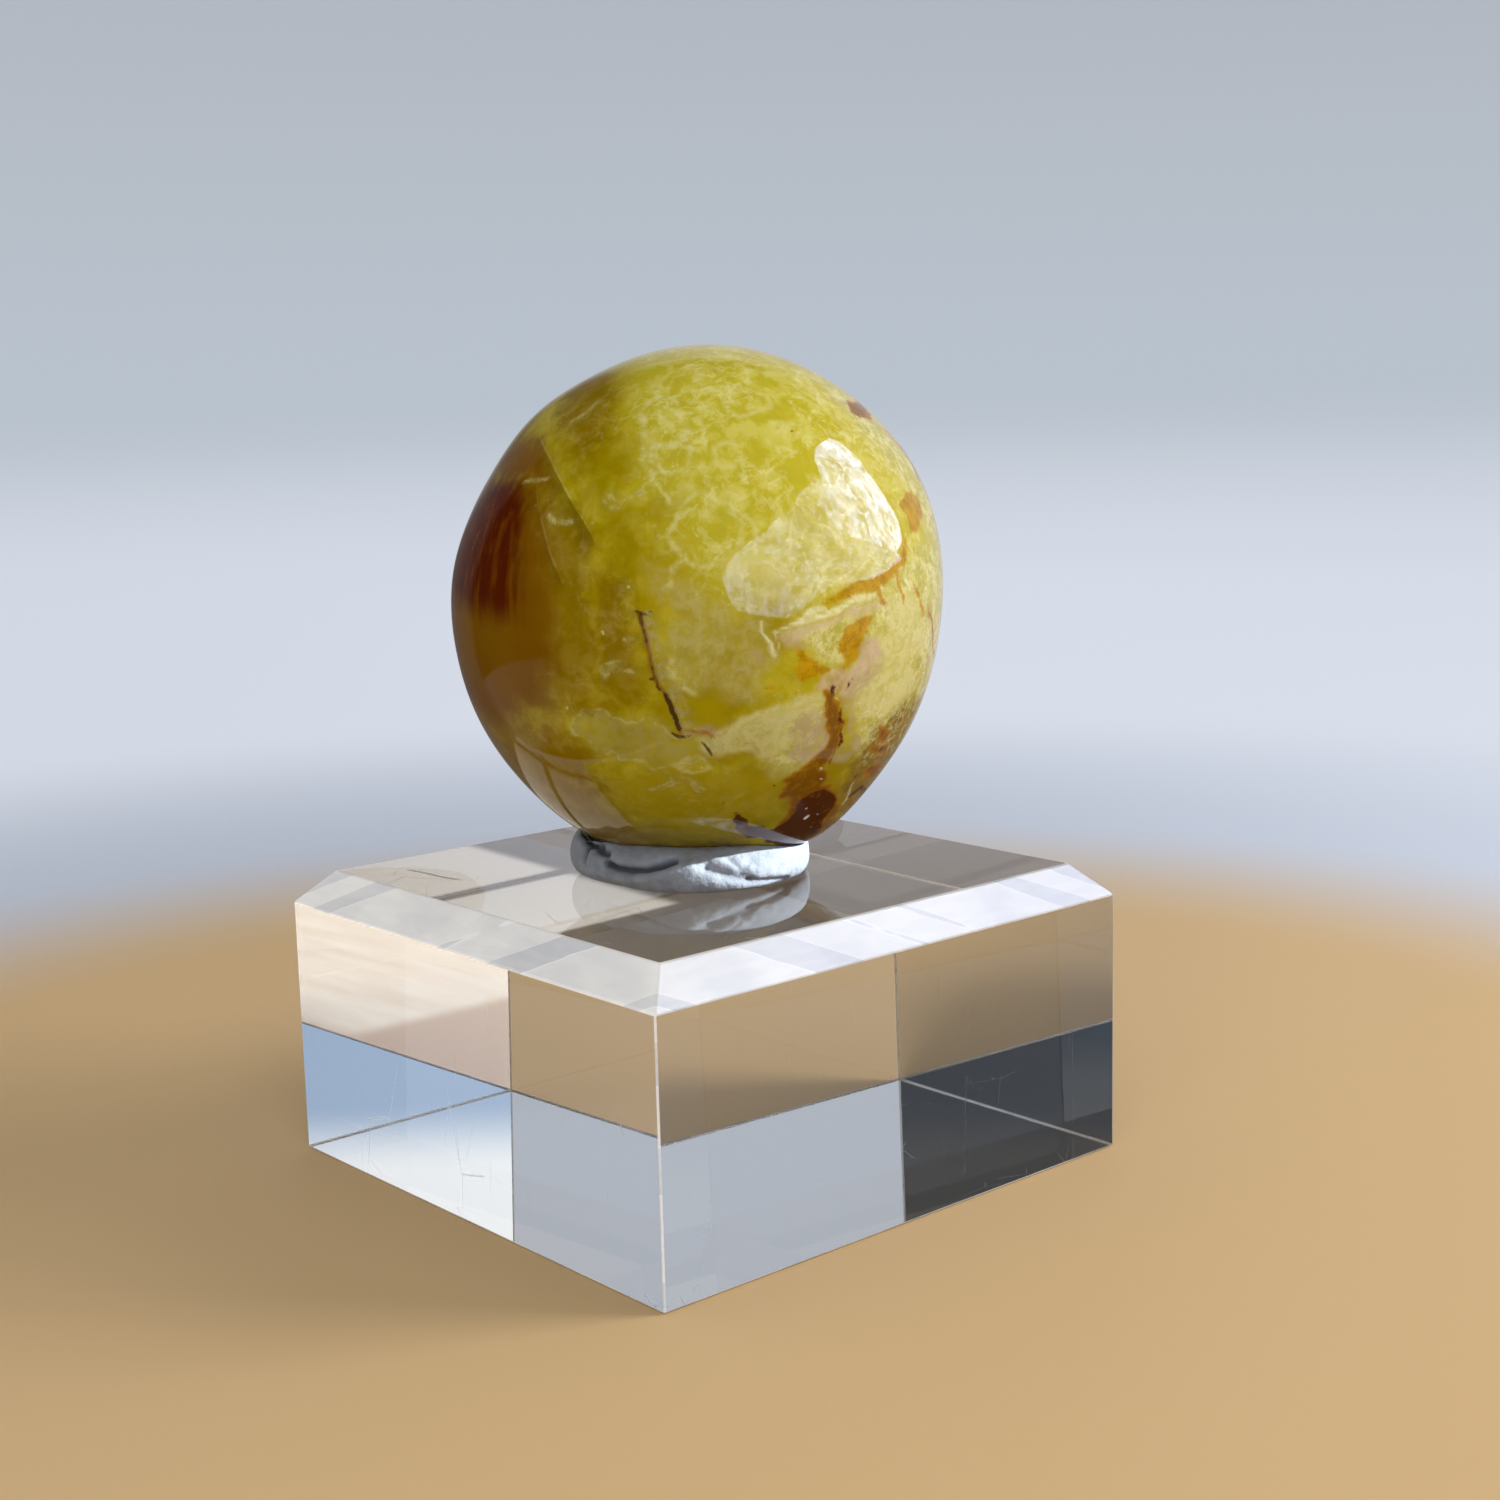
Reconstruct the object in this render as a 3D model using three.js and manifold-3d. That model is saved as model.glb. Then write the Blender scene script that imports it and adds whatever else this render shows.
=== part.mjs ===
// A polished, nearly round opal held by a pressed lump of mineral putty on a clear acrylic block.
// Millimetres and degrees, +Z up. The origin is the middle of the block's underside, and the
// block's sides are square to X and Y. The front view looks at the corner between -X and -Y.

import * as THREE from "three";
import { mergeVertices } from "three/addons/utils/BufferGeometryUtils.js";
import Module from "manifold-3d";

const wasm = await Module();
wasm.setup();

// Driving dimensions of the block
const BLOCK_SIDE = 50;
const BLOCK_HEIGHT = 25;
const BLOCK_CHAMFER = 2.7;
const NEAR_PLANE = 0.1;

// Driving dimensions of the stone, and the direction of its front view
const STONE_RADIUS = 21.05;
const STONE_CENTRE = new THREE.Vector3(0.6, -0.2, 47.9);
const STONE_ROWS = 15;
const FRONT_AZIMUTH = -39.8;
const FRONT_ELEVATION = 5.7;

// Driving dimensions of the putty
const PUTTY_CENTRE = new THREE.Vector2(-0.3, -0.7);
const PUTTY_SLICES = 56;
const SEAT_GAP = 0.3;

// Vertices nearer to each other than this are one vertex
const MERGE_DISTANCE = 1e-4;

// Where the worn stone leaves the round. "around" is the angle from the right, anticlockwise, as
// seen from the front; "forward" is how far it leans towards the viewer. "rise" is in millimetres:
// minus where a flat was ground, plus where stone was left standing. "breadth" is its half width.
const STONE_FORMS = [
  { name: "crown", around: 68, forward: 5, rise: 0.3, breadth: 24 },
  { name: "flat left of the crown", around: 114, forward: 5, rise: -0.5, breadth: 16 },
  { name: "upper left flat", around: 149, forward: 10, rise: -1.1, breadth: 21 },
  { name: "left flat", around: 188, forward: 0, rise: -0.5, breadth: 22 },
  { name: "lower left shoulder", around: 246, forward: 5, rise: 0.75, breadth: 17 },
  { name: "underside", around: 267, forward: 5, rise: 0.4, breadth: 13 },
  { name: "lower right shoulder", around: 293, forward: 8, rise: 1.3, breadth: 16 },
  { name: "right flat", around: 350, forward: 5, rise: -0.5, breadth: 22 },
  { name: "upper right shoulder", around: 33, forward: 0, rise: 0.3, breadth: 18 },
  { name: "front shoulder", around: 60, forward: 52, rise: 0.3, breadth: 24 },
  { name: "front flat", around: 215, forward: 62, rise: -0.4, breadth: 26 },
  { name: "back flat", around: 20, forward: -62, rise: -0.7, breadth: 28 },
  { name: "back shoulder", around: 170, forward: -48, rise: 0.45, breadth: 24 },
  { name: "back lower flat", around: 250, forward: -50, rise: -0.5, breadth: 22 },
];

// Half section of the putty before it is worked: distance from its middle, height on the block
const PUTTY_SECTION = [
  [0, 0],
  [5, 0],
  [9.3, 0],
  [9.9, 0.5],
  [10.15, 1.2],
  [10.1, 2.0],
  [9.85, 2.7],
  [9.3, 3.3],
  [8.4, 3.9],
  [6.5, 4.4],
  [3.5, 4.4],
  [0, 4.4],
];

// What pressing did to the putty's rim. "azimuth" is from +X towards +Y; "out" and "up" are in
// millimetres at the rim, and "breadth" is the half width in degrees.
const PUTTY_LOBES = [
  { name: "folded left lobe", azimuth: 143, out: 0.9, up: 0.7, breadth: 26 },
  { name: "front shelf", azimuth: 230, out: 0.9, up: -0.5, breadth: 34 },
  { name: "crease beside the fold", azimuth: 186, out: -0.35, up: -0.1, breadth: 11 },
  { name: "right fold", azimuth: 318, out: -0.8, up: -0.35, breadth: 24 },
  { name: "back bulge", azimuth: 60, out: 0.5, up: 0.2, breadth: 30 },
];

const radians = THREE.MathUtils.degToRad;

// A bell-shaped fading of a form, 1 at its middle
function bell(distance, breadth) {
  return Math.exp(-((distance / breadth) ** 2));
}

// The front view's own axes: right, up, and towards the viewer
function frontAxes() {
  const a = radians(FRONT_AZIMUTH);
  const e = radians(FRONT_ELEVATION);
  const toViewer = new THREE.Vector3(Math.sin(a) * Math.cos(e), -Math.cos(a) * Math.cos(e), Math.sin(e));
  const right = new THREE.Vector3(Math.cos(a), Math.sin(a), 0);
  const up = new THREE.Vector3().crossVectors(toViewer, right);
  return { right, up, toViewer };
}

function frontDirection(axes, around, forward) {
  const a = radians(around);
  const f = radians(forward);
  return new THREE.Vector3()
    .addScaledVector(axes.right, Math.cos(a) * Math.cos(f))
    .addScaledVector(axes.up, Math.sin(a) * Math.cos(f))
    .addScaledVector(axes.toViewer, Math.sin(f));
}

// The stone's radius in one direction
const AXES = frontAxes();
const STONE_MIDDLES = STONE_FORMS.map((form) => frontDirection(AXES, form.around, form.forward));

function stoneRadius(direction) {
  let radius = STONE_RADIUS;
  STONE_FORMS.forEach((form, i) => {
    const away = THREE.MathUtils.radToDeg(direction.angleTo(STONE_MIDDLES[i]));
    radius += form.rise * bell(away, form.breadth);
  });
  return radius;
}

// A geometry with only positions, its shared vertices merged
function closedGeometry(geometry) {
  geometry.deleteAttribute("normal");
  geometry.deleteAttribute("uv");
  return mergeVertices(geometry, MERGE_DISTANCE);
}

// Moves every vertex of a geometry to where change(point) puts it
function reshape(geometry, change) {
  const places = geometry.getAttribute("position");
  const point = new THREE.Vector3();
  for (let i = 0; i < places.count; i++) {
    point.fromBufferAttribute(places, i);
    change(point);
    places.setXYZ(i, point.x, point.y, point.z);
  }
  return geometry;
}

// The stone's surface, or one that stands outside it by a margin
function stoneGeometry(margin) {
  const ball = closedGeometry(new THREE.IcosahedronGeometry(STONE_RADIUS, STONE_ROWS));
  return reshape(ball, (point) => {
    const direction = point.clone().normalize();
    point.copy(direction).multiplyScalar(stoneRadius(direction) + margin).add(STONE_CENTRE);
  });
}

function toManifold(geometry) {
  const vertProperties = new Float32Array(geometry.getAttribute("position").array);
  const triVerts = new Uint32Array(geometry.getIndex().array);
  return new wasm.Manifold(new wasm.Mesh({ numProp: 3, vertProperties, triVerts }));
}

function fromManifold(solid) {
  const mesh = solid.getMesh();
  const geometry = new THREE.BufferGeometry();
  geometry.setAttribute("position", new THREE.BufferAttribute(new Float32Array(mesh.vertProperties), 3));
  geometry.setIndex(new THREE.BufferAttribute(new Uint32Array(mesh.triVerts), 1));
  return geometry;
}

function named(name, geometry, material) {
  geometry.computeVertexNormals();
  const mesh = new THREE.Mesh(geometry, material);
  mesh.name = name;
  return mesh;
}

// Clear block: crisp edges below, a flat chamfer round its top
function makeBlock() {
  const box = closedGeometry(new THREE.BoxGeometry(BLOCK_SIDE, BLOCK_SIDE, BLOCK_HEIGHT, 1, 1, 2));
  const half = BLOCK_SIDE / 2;
  const top = BLOCK_HEIGHT / 2;
  const topHalf = half - BLOCK_CHAMFER;
  reshape(box, (point) => {
    if (point.z > top - NEAR_PLANE) {
      point.set(Math.sign(point.x) * topHalf, Math.sign(point.y) * topHalf, BLOCK_HEIGHT);
    } else if (point.z > -NEAR_PLANE) {
      point.z = BLOCK_HEIGHT - BLOCK_CHAMFER;
    } else {
      point.z = 0;
    }
  });
  const material = new THREE.MeshStandardMaterial({
    color: "#eef2f6",
    roughness: 0.03,
    metalness: 0,
    transparent: true,
    opacity: 0.3,
  });
  return named("acrylic_block", box, material);
}

// Putty: a pressed pat, flat underneath, its rim pushed into lobes and its middle dished by the stone
function makePutty() {
  const section = PUTTY_SECTION.map(([out, up]) => new THREE.Vector2(out, up));
  const pat = new THREE.LatheGeometry(section, PUTTY_SLICES);
  pat.rotateX(Math.PI / 2);
  const rim = Math.max(...PUTTY_SECTION.map(([out]) => out));
  const full = Math.max(...PUTTY_SECTION.map(([, up]) => up));
  const worked = reshape(closedGeometry(pat), (point) => {
    const azimuth = THREE.MathUtils.radToDeg(Math.atan2(point.y, point.x));
    const reach = Math.hypot(point.x, point.y) / rim;
    const rise = point.z / full;
    let out = 0;
    let up = 0;
    for (const lobe of PUTTY_LOBES) {
      const away = THREE.MathUtils.euclideanModulo(azimuth - lobe.azimuth + 180, 360) - 180;
      out += lobe.out * bell(away, lobe.breadth);
      up += lobe.up * bell(away, lobe.breadth);
    }
    const spread = 1 + (out / rim) * reach;
    point.x = point.x * spread + PUTTY_CENTRE.x;
    point.y = point.y * spread + PUTTY_CENTRE.y;
    point.z += up * rise * reach + BLOCK_HEIGHT;
  });
  const solid = toManifold(worked).subtract(toManifold(stoneGeometry(SEAT_GAP)));
  const material = new THREE.MeshStandardMaterial({ color: "#c9cdd3", roughness: 0.75, metalness: 0 });
  return named("mineral_putty", fromManifold(solid), material);
}

// Stone: a ball with the soft flats and shoulders that tumbling leaves
function makeStone() {
  const material = new THREE.MeshStandardMaterial({ color: "#a2901f", roughness: 0.12, metalness: 0 });
  return named("opal", stoneGeometry(0), material);
}

const opalOnBlock = new THREE.Group();
opalOnBlock.add(makeBlock(), makePutty(), makeStone());

export default opalOnBlock;
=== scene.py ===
# %% [markdown]
# # A polished opal on a clear block
#
# Three pieces make this object: a tumbled yellow-green opal, the lump of mineral putty that holds
# it up, and a clear acrylic block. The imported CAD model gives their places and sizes. This script
# makes each piece again at full detail, one step a cell, and gives it its finish.

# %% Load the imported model
import math

import bpy
import numpy as np
from mathutils import Matrix, Vector
from mathutils.bvhtree import BVHTree
from mathutils.geometry import tessellate_polygon


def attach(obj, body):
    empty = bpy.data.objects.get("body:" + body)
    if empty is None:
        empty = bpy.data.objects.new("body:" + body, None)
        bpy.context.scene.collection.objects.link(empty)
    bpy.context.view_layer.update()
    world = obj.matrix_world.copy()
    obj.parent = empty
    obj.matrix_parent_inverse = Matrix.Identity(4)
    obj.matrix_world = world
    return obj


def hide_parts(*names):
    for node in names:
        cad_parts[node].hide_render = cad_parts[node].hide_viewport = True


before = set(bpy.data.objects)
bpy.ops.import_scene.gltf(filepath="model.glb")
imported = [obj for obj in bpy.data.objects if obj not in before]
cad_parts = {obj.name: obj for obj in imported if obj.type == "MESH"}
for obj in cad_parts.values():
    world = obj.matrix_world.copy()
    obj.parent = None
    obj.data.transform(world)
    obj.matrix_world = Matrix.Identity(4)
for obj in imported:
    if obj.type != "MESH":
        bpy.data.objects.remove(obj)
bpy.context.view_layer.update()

MM = 0.001

# %% [markdown]
# ## The camera
#
# A camera could be placed by eye, but then nothing lines up. This one was solved from the corners
# of the block, which is square, so each mark on the stone can be given by its pixel in the
# photograph. The lens comes from the focal length in pixels and the usual 36 mm sensor.

# %% Camera
PHOTO_SIDE = 1500
FOCAL_PIXELS = 2224
SENSOR = 36
CAMERA_PLACE = Vector((-118.79, -143.53, 66.5))
CAMERA_HEADING = 48.933
CAMERA_PITCH = -9.590
CAMERA_ROLL = -1.445


def turn(degrees, axis):
    """A rotation about one axis."""
    return Matrix.Rotation(math.radians(degrees), 4, axis)


bpy.ops.object.camera_add()
camera = bpy.context.object
camera.name = "camera"
camera.data.sensor_width = SENSOR
camera.data.lens = FOCAL_PIXELS / PHOTO_SIDE * SENSOR
camera.data.clip_start = 10 * MM
camera.data.clip_end = 10
camera.matrix_world = (
    Matrix.Translation(CAMERA_PLACE * MM)
    @ turn(CAMERA_HEADING - 90, "Z")
    @ turn(90 + CAMERA_PITCH, "X")
    @ turn(CAMERA_ROLL, "Z")
)
bpy.context.scene.camera = camera
EYE = CAMERA_PLACE * MM
EYE_AXES = camera.matrix_world.to_3x3()


def photo_ray(x, y):
    """The direction in which the camera sees a pixel of the photograph."""
    half = PHOTO_SIDE / 2
    return (EYE_AXES @ Vector(((x - half) / FOCAL_PIXELS, (half - y) / FOCAL_PIXELS, -1))).normalized()


print("camera's right:", [round(v, 4) for v in EYE_AXES.col[0]])

# %% [markdown]
# ## Working in edit mode from a script
#
# An operator acts on whatever is selected, and on the active object. These helpers clear the
# selection first, and pick faces by a rule instead of by a click.

# %% Helpers for modelling


def only(piece):
    """Selects one object, makes it active, and nothing else."""
    bpy.ops.object.select_all(action="DESELECT")
    piece.select_set(True)
    bpy.context.view_layer.objects.active = piece


def newest(name):
    """Names the object that an operator has just added, with its place put into its mesh."""
    piece = bpy.context.object
    piece.name = name
    only(piece)
    bpy.ops.object.transform_apply(location=True, rotation=True, scale=True)
    return piece


def pick_faces(piece, wanted):
    """Opens a piece in edit mode with only the wanted faces selected."""
    only(piece)
    bpy.ops.object.mode_set(mode="EDIT")
    bpy.ops.mesh.select_mode(type="FACE")
    bpy.ops.mesh.select_all(action="DESELECT")
    bpy.ops.object.mode_set(mode="OBJECT")
    for face in piece.data.polygons:
        face.select = wanted(face)
    bpy.ops.object.mode_set(mode="EDIT")


def modify(piece, kind, **settings):
    """Adds a modifier with its settings and applies it."""
    modifier = piece.modifiers.new(kind.title(), kind)
    for name, value in settings.items():
        setattr(modifier, name, value)
    only(piece)
    bpy.ops.object.modifier_apply(modifier=modifier.name)


def merged_copy(node, name):
    """A copy of a CAD node with its loose triangles joined, to shape other meshes by."""
    only(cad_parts[node])
    bpy.ops.object.duplicate()
    copy = bpy.context.object
    copy.name = name
    only(copy)
    bpy.ops.object.mode_set(mode="EDIT")
    bpy.ops.mesh.select_all(action="SELECT")
    bpy.ops.mesh.remove_doubles(threshold=0.001 * MM)
    bpy.ops.object.mode_set(mode="OBJECT")
    return copy


def places(piece):
    """The vertices of a mesh, in millimetres, as rows of an array."""
    flat = np.empty(len(piece.data.vertices) * 3)
    piece.data.vertices.foreach_get("co", flat)
    return flat.reshape(-1, 3) / MM


def put(piece, rows):
    """Moves the vertices of a mesh to the rows of an array, in millimetres."""
    piece.data.vertices.foreach_set("co", (rows * MM).ravel())
    piece.data.update()


def keep(piece, name, values):
    """Stores a value at each vertex, for the finish."""
    piece.data.attributes.new(name, "FLOAT", "POINT").data.foreach_set("value", values.astype(np.float32))


def tell(piece):
    """Prints how big a finished piece is."""
    rows = places(piece)
    low, high = rows.min(axis=0).round(2), rows.max(axis=0).round(2)
    print(piece.name, "spans", low.tolist(), "to", high.tolist(), "in", len(piece.data.polygons), "faces")


# %% [markdown]
# ## Finishes as sums
#
# A material is a net of nodes, and a long one is hard to read as links. Here a node's output is
# wrapped so that Python's own signs add the Math nodes, and a finish reads like the sum it is.

# %% Helpers for finishes


def in_order(operation):
    """A sign between an output and what stands on its right."""
    return lambda self, other: self.finish.maths(operation, self, other)


def reflected(operation):
    """The same sign with a plain number on its left."""
    return lambda self, other: self.finish.maths(operation, other, self)


class Wire:
    """An output of a node, which can be added to, taken from and multiplied."""

    def __init__(self, finish, socket):
        self.finish = finish
        self.socket = socket

    __add__ = in_order("ADD")
    __radd__ = reflected("ADD")
    __sub__ = in_order("SUBTRACT")
    __rsub__ = reflected("SUBTRACT")
    __mul__ = in_order("MULTIPLY")
    __rmul__ = reflected("MULTIPLY")


class Net:
    """The nodes of a material or of the world, and short ways to add to them."""

    def __init__(self, owner, surface):
        owner.use_nodes = True
        self.tree = owner.node_tree
        self.surface = self.tree.nodes[surface]

    def fill(self, socket, value):
        if isinstance(value, Wire):
            self.tree.links.new(value.socket, socket)
        elif socket.type == "RGBA":
            socket.default_value = (*value, 1)
        else:
            socket.default_value = value

    def feed(self, socket, value):
        """Gives one of the surface's own sockets its value or link."""
        self.fill(self.surface.inputs[socket], value)

    def node(self, kind, settings, sockets, output=0):
        """Adds any node: its type, its settings, and the values or links of its sockets."""
        made = self.tree.nodes.new(kind)
        for name, value in settings.items():
            setattr(made, name, value)
        for place, value in sockets.items():
            self.fill(made.inputs[place], value)
        return Wire(self, made.outputs[output])

    def maths(self, operation, *values):
        """A Math node with its values or links."""
        return self.node("ShaderNodeMath", {"operation": operation}, dict(enumerate(values)))

    def vectors(self, operation, *values, output=0):
        """A Vector Math node with its values or links."""
        settings = {"operation": operation}
        return self.node("ShaderNodeVectorMath", settings, dict(enumerate(values)), output)

    def scaled(self, vector, factor):
        """A vector times a number."""
        return self.node("ShaderNodeVectorMath", {"operation": "SCALE"}, {0: vector, "Scale": factor})

    def place(self):
        """The point on the surface, in millimetres."""
        return self.scaled(self.node("ShaderNodeTexCoord", {}, {}, output="Object"), 1 / MM)

    def stretched(self, where, factors):
        """Coordinates multiplied axis by axis."""
        return self.vectors("MULTIPLY", where, factors)

    def shifted(self, where, amount, size, detail=2):
        """Coordinates pushed about by noise, by up to about the amount, in millimetres."""
        colour = self.noise(where, size, detail, output="Color")
        centred = self.vectors("SUBTRACT", colour, (0.5, 0.5, 0.5))
        return self.vectors("ADD", where, self.scaled(centred, 2 * amount))

    def noise(self, where, size, detail=2, roughness=0.5, output=0):
        """Clouds about as wide as the size, in millimetres."""
        sockets = {"Vector": where, "Scale": 1 / size, "Detail": detail, "Roughness": roughness}
        return self.node("ShaderNodeTexNoise", {}, sockets, output)

    def fade(self, value, start, stop):
        """A smooth step from 0 at the start to 1 at the stop."""
        settings = {"interpolation_type": "SMOOTHSTEP"}
        return self.node("ShaderNodeMapRange", settings, {0: value, 1: start, 2: stop})

    def mix(self, share, under, over, way="MIX"):
        """Two colours, mixed by a share of the second."""
        settings = {"data_type": "RGBA", "blend_type": way}
        return self.node("ShaderNodeMix", settings, {0: share, 6: under, 7: over}, output=2)

    def size(self, value):
        """A value without its sign."""
        return self.maths("ABSOLUTE", value)

    def bigger(self, first, second):
        """The larger of two values."""
        return self.maths("MAXIMUM", first, second)

    def stored(self, name):
        """A value that the mesh keeps at each vertex."""
        return self.node("ShaderNodeAttribute", {"attribute_name": name}, {}, output="Fac")

    def dot(self, vector, direction):
        """How far a vector goes along a direction."""
        return self.vectors("DOT_PRODUCT", vector, direction, output="Value")

    def cell_edge(self, where, size):
        """How far a place lies from the edge of cells as wide as the size, in millimetres."""
        sockets = {"Vector": where, "Scale": 1 / size}
        return self.node("ShaderNodeTexVoronoi", {"feature": "DISTANCE_TO_EDGE"}, sockets)

    def dents(self, height, depth):
        """A bump from a height of 0 to 1 that stands for so many millimetres."""
        sockets = {"Strength": 1.0, "Distance": depth * MM, "Height": height}
        return self.node("ShaderNodeBump", {}, sockets)


class Finish(Net):
    """A material on a Principled surface."""

    def __init__(self, name, **constants):
        self.material = bpy.data.materials.new(name)
        super().__init__(self.material, "Principled BSDF")
        for socket, value in constants.items():
            self.feed(socket.replace("_", " "), value)


def between(net, value, low, high, edge):
    """1 between two bounds and 0 beyond them, with soft edges."""
    return net.fade(value, low - edge, low + edge) * net.fade(value, high + edge, high - edge)


# %% [markdown]
# ## The studio
#
# The floor and the wall are one pale bowl, so no corner shows. It starts as a disc at the top of
# the wall, which is pushed down and drawn in, ring by ring, until its last face is the floor. The
# floor is warm near the block and cool further off. It lies a hair below the block, because a
# real block rests on dust and high spots: the thin air under it makes its underside a mirror.
#
# Further off the bowl glows evenly and hardly takes light, so that no lamp burns a patch into it
# in any view. Two pools of painted light glow on the floor as well: one under the block, where its
# clear body gathers light, and a streaked patch of painted window light at the window's side,
# which only rays through the block see.

# %% The floor and the wall
FLOOR_DROP = 0.1
BOWL_RINGS = [(720, 420), (720, 160), (712, 110), (690, 66), (655, 32), (610, 10), (560, 0)]
BOWL_SIDES = 128
WARM_REACH = (90, 150)
GLOW_REACH = (130, 260)
WALL_RISE = (5, 60)
WALL_TURN = (60, 230)
FLOOR_WARM = (0.64, 0.425, 0.205)
FLOOR_COOL = (0.60, 0.64, 0.71)
FAR_COLOUR = (0.05, 0.05, 0.05)
FLOOR_GLOW = (0.61, 0.65, 0.73)
WALL_GLOW_LOW = (0.45, 0.505, 0.57)
WALL_GLOW_HIGH = (0.41, 0.44, 0.49)
GATHERED_LIGHT = (0.72, 0.68, 0.60)
GATHERED_PLACE = {"X": (-24, 4, 1.0), "Y": (8, 24, 0.5)}
SPOT_LIGHT = (0.31, 0.37, 0.36)
SPOT_PLACE = {"X": (26, 130, 2.0), "Y": (-120, -2, 2.0)}
SPOT_STREAK_SIZE = 3
SHEEN_TINT = (0.9, 1.0, 0.72)

first_radius, first_height = BOWL_RINGS[0]
bpy.ops.mesh.primitive_circle_add(
    vertices=BOWL_SIDES,
    radius=first_radius * MM,
    fill_type="NGON",
    location=(0, 0, (first_height - FLOOR_DROP) * MM),
)
bowl = newest("studio_bowl")
pick_faces(bowl, lambda face: True)
for (wide, high), (narrow, low) in zip(BOWL_RINGS, BOWL_RINGS[1:]):
    bpy.ops.mesh.extrude_region_move(TRANSFORM_OT_translate={"value": (0, 0, (low - high) * MM)})
    bpy.ops.transform.resize(value=(narrow / wide, narrow / wide, 1))
bpy.ops.object.mode_set(mode="OBJECT")
pick_faces(bowl, lambda face: face.normal.z > 0.9 and face.center.z > first_height * MM / 2)
bpy.ops.mesh.delete(type="FACE")
bpy.ops.mesh.select_all(action="SELECT")
bpy.ops.mesh.normals_make_consistent(inside=True)
bpy.ops.object.mode_set(mode="OBJECT")
bpy.ops.object.shade_smooth()

bowl_finish = Finish(
    "pale_bowl",
    Roughness=0.5,
    Specular_IOR_Level=0.12,
    Specular_Tint=SHEEN_TINT,
    Emission_Strength=1.0,
)
here = bowl_finish.place()
away = bowl_finish.vectors("LENGTH", here, output="Value")
cool = bowl_finish.fade(away, *WARM_REACH)
floor_colour = bowl_finish.mix(cool, FLOOR_WARM, FLOOR_COOL)
far_share = bowl_finish.fade(away, *GLOW_REACH)
bowl_finish.feed("Base Color", bowl_finish.mix(far_share, floor_colour, FAR_COLOUR))
axes = {name: bowl_finish.node("ShaderNodeSeparateXYZ", {}, {0: here}, output=name) for name in "XYZ"}


def on_floor(bounds):
    """1 within a rectangle of the floor, given by bounds and a soft edge along X and along Y."""
    return between(bowl_finish, axes["X"], *bounds["X"]) * between(bowl_finish, axes["Y"], *bounds["Y"])


glow = bowl_finish.mix(bowl_finish.fade(axes["Z"], *WALL_RISE), FLOOR_GLOW, WALL_GLOW_LOW)
glow = bowl_finish.mix(bowl_finish.fade(axes["Z"], *WALL_TURN), glow, WALL_GLOW_HIGH)
glow = bowl_finish.mix(far_share, (0, 0, 0), glow)
# painted light: a pool of light glows on the floor under the block, where its clear body gathers light
glow = bowl_finish.mix(on_floor(GATHERED_PLACE), glow, GATHERED_LIGHT)
# painted light: a streaked patch of window light glows at the window's side, seen only through the block
through = bowl_finish.node("ShaderNodeLightPath", {}, {}, output="Is Transmission Ray")
grain = bowl_finish.noise(bowl_finish.stretched(here, (1, 0.15, 1)), SPOT_STREAK_SIZE, detail=3)
glow = bowl_finish.mix(on_floor(SPOT_PLACE) * through * (0.3 + 1.1 * grain), glow, SPOT_LIGHT)
bowl_finish.feed("Emission Color", glow)
bowl_finish.material.cycles.emission_sampling = "NONE"
bowl.data.materials.append(bowl_finish.material)
tell(bowl)

# %% [markdown]
# ## The light
#
# The light is that of a tall window on the right, with soft light from all round. An area light
# stands for the window, a weak one for what comes from behind the camera, and the world for the
# rest. Two more are for one piece each: the putty and the block's edges. No lamp is seen in the
# polish: what that mirrors is made next.

# %% Light
SKY_COLOUR = (0.90, 0.94, 1.0)
SKY_STRENGTH = 0.56
AIM = Vector((0, 0, 40))
STUDIO_LIGHTS = [
    {"name": "window_light", "from": (0.70, -0.60, 0.38), "size": (240, 300), "power": 1.75},
    {"name": "room_light", "from": (-0.62, -0.66, 0.42), "size": (500, 400), "power": 1.1},
    {
        "name": "window_gap",
        "from": (0.60, -0.65, 0.47),
        "size": (10, 10),
        "power": 6.5,
        "colour": (0.78, 0.9, 1.0),
    },
    {"name": "edge_light", "from": (-0.78, -0.28, 0.56), "size": (240, 240), "power": 2.0},
]
LIGHT_DISTANCE = 480


def facing(direction, distance):
    """A place at a distance from the object, turned to face it."""
    place = (AIM + direction * distance) * MM
    return Matrix.Translation(place) @ direction.to_track_quat("Z", "Y").to_matrix().to_4x4()


for plan in STUDIO_LIGHTS:
    bpy.ops.object.light_add(type="AREA")
    lamp = bpy.context.object
    lamp.name = plan["name"]
    lamp.data.shape = "RECTANGLE"
    lamp.data.size, lamp.data.size_y = (side * MM for side in plan["size"])
    lamp.data.energy = plan["power"]
    lamp.data.color = plan.get("colour", (1, 1, 1))
    lamp.matrix_world = facing(Vector(plan["from"]).normalized(), LIGHT_DISTANCE)
    lamp.visible_glossy = False
    lamp.visible_transmission = False
    lamp.visible_camera = False
bpy.context.scene.view_settings.view_transform = "Standard"

# %% [markdown]
# A polished stone is half colour and half mirror. If it mirrored the whole pale bowl, a veil
# would lie over it, as on a ball under a tent. So the bowl is hidden from mirror rays, and they
# see the world instead, which is painted by direction: dark round the camera and overhead, paler
# at the back and on the ground there, with a dim corner at the left, and one low pale strip at
# the left. Angles are from the camera's side, in degrees.

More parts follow.
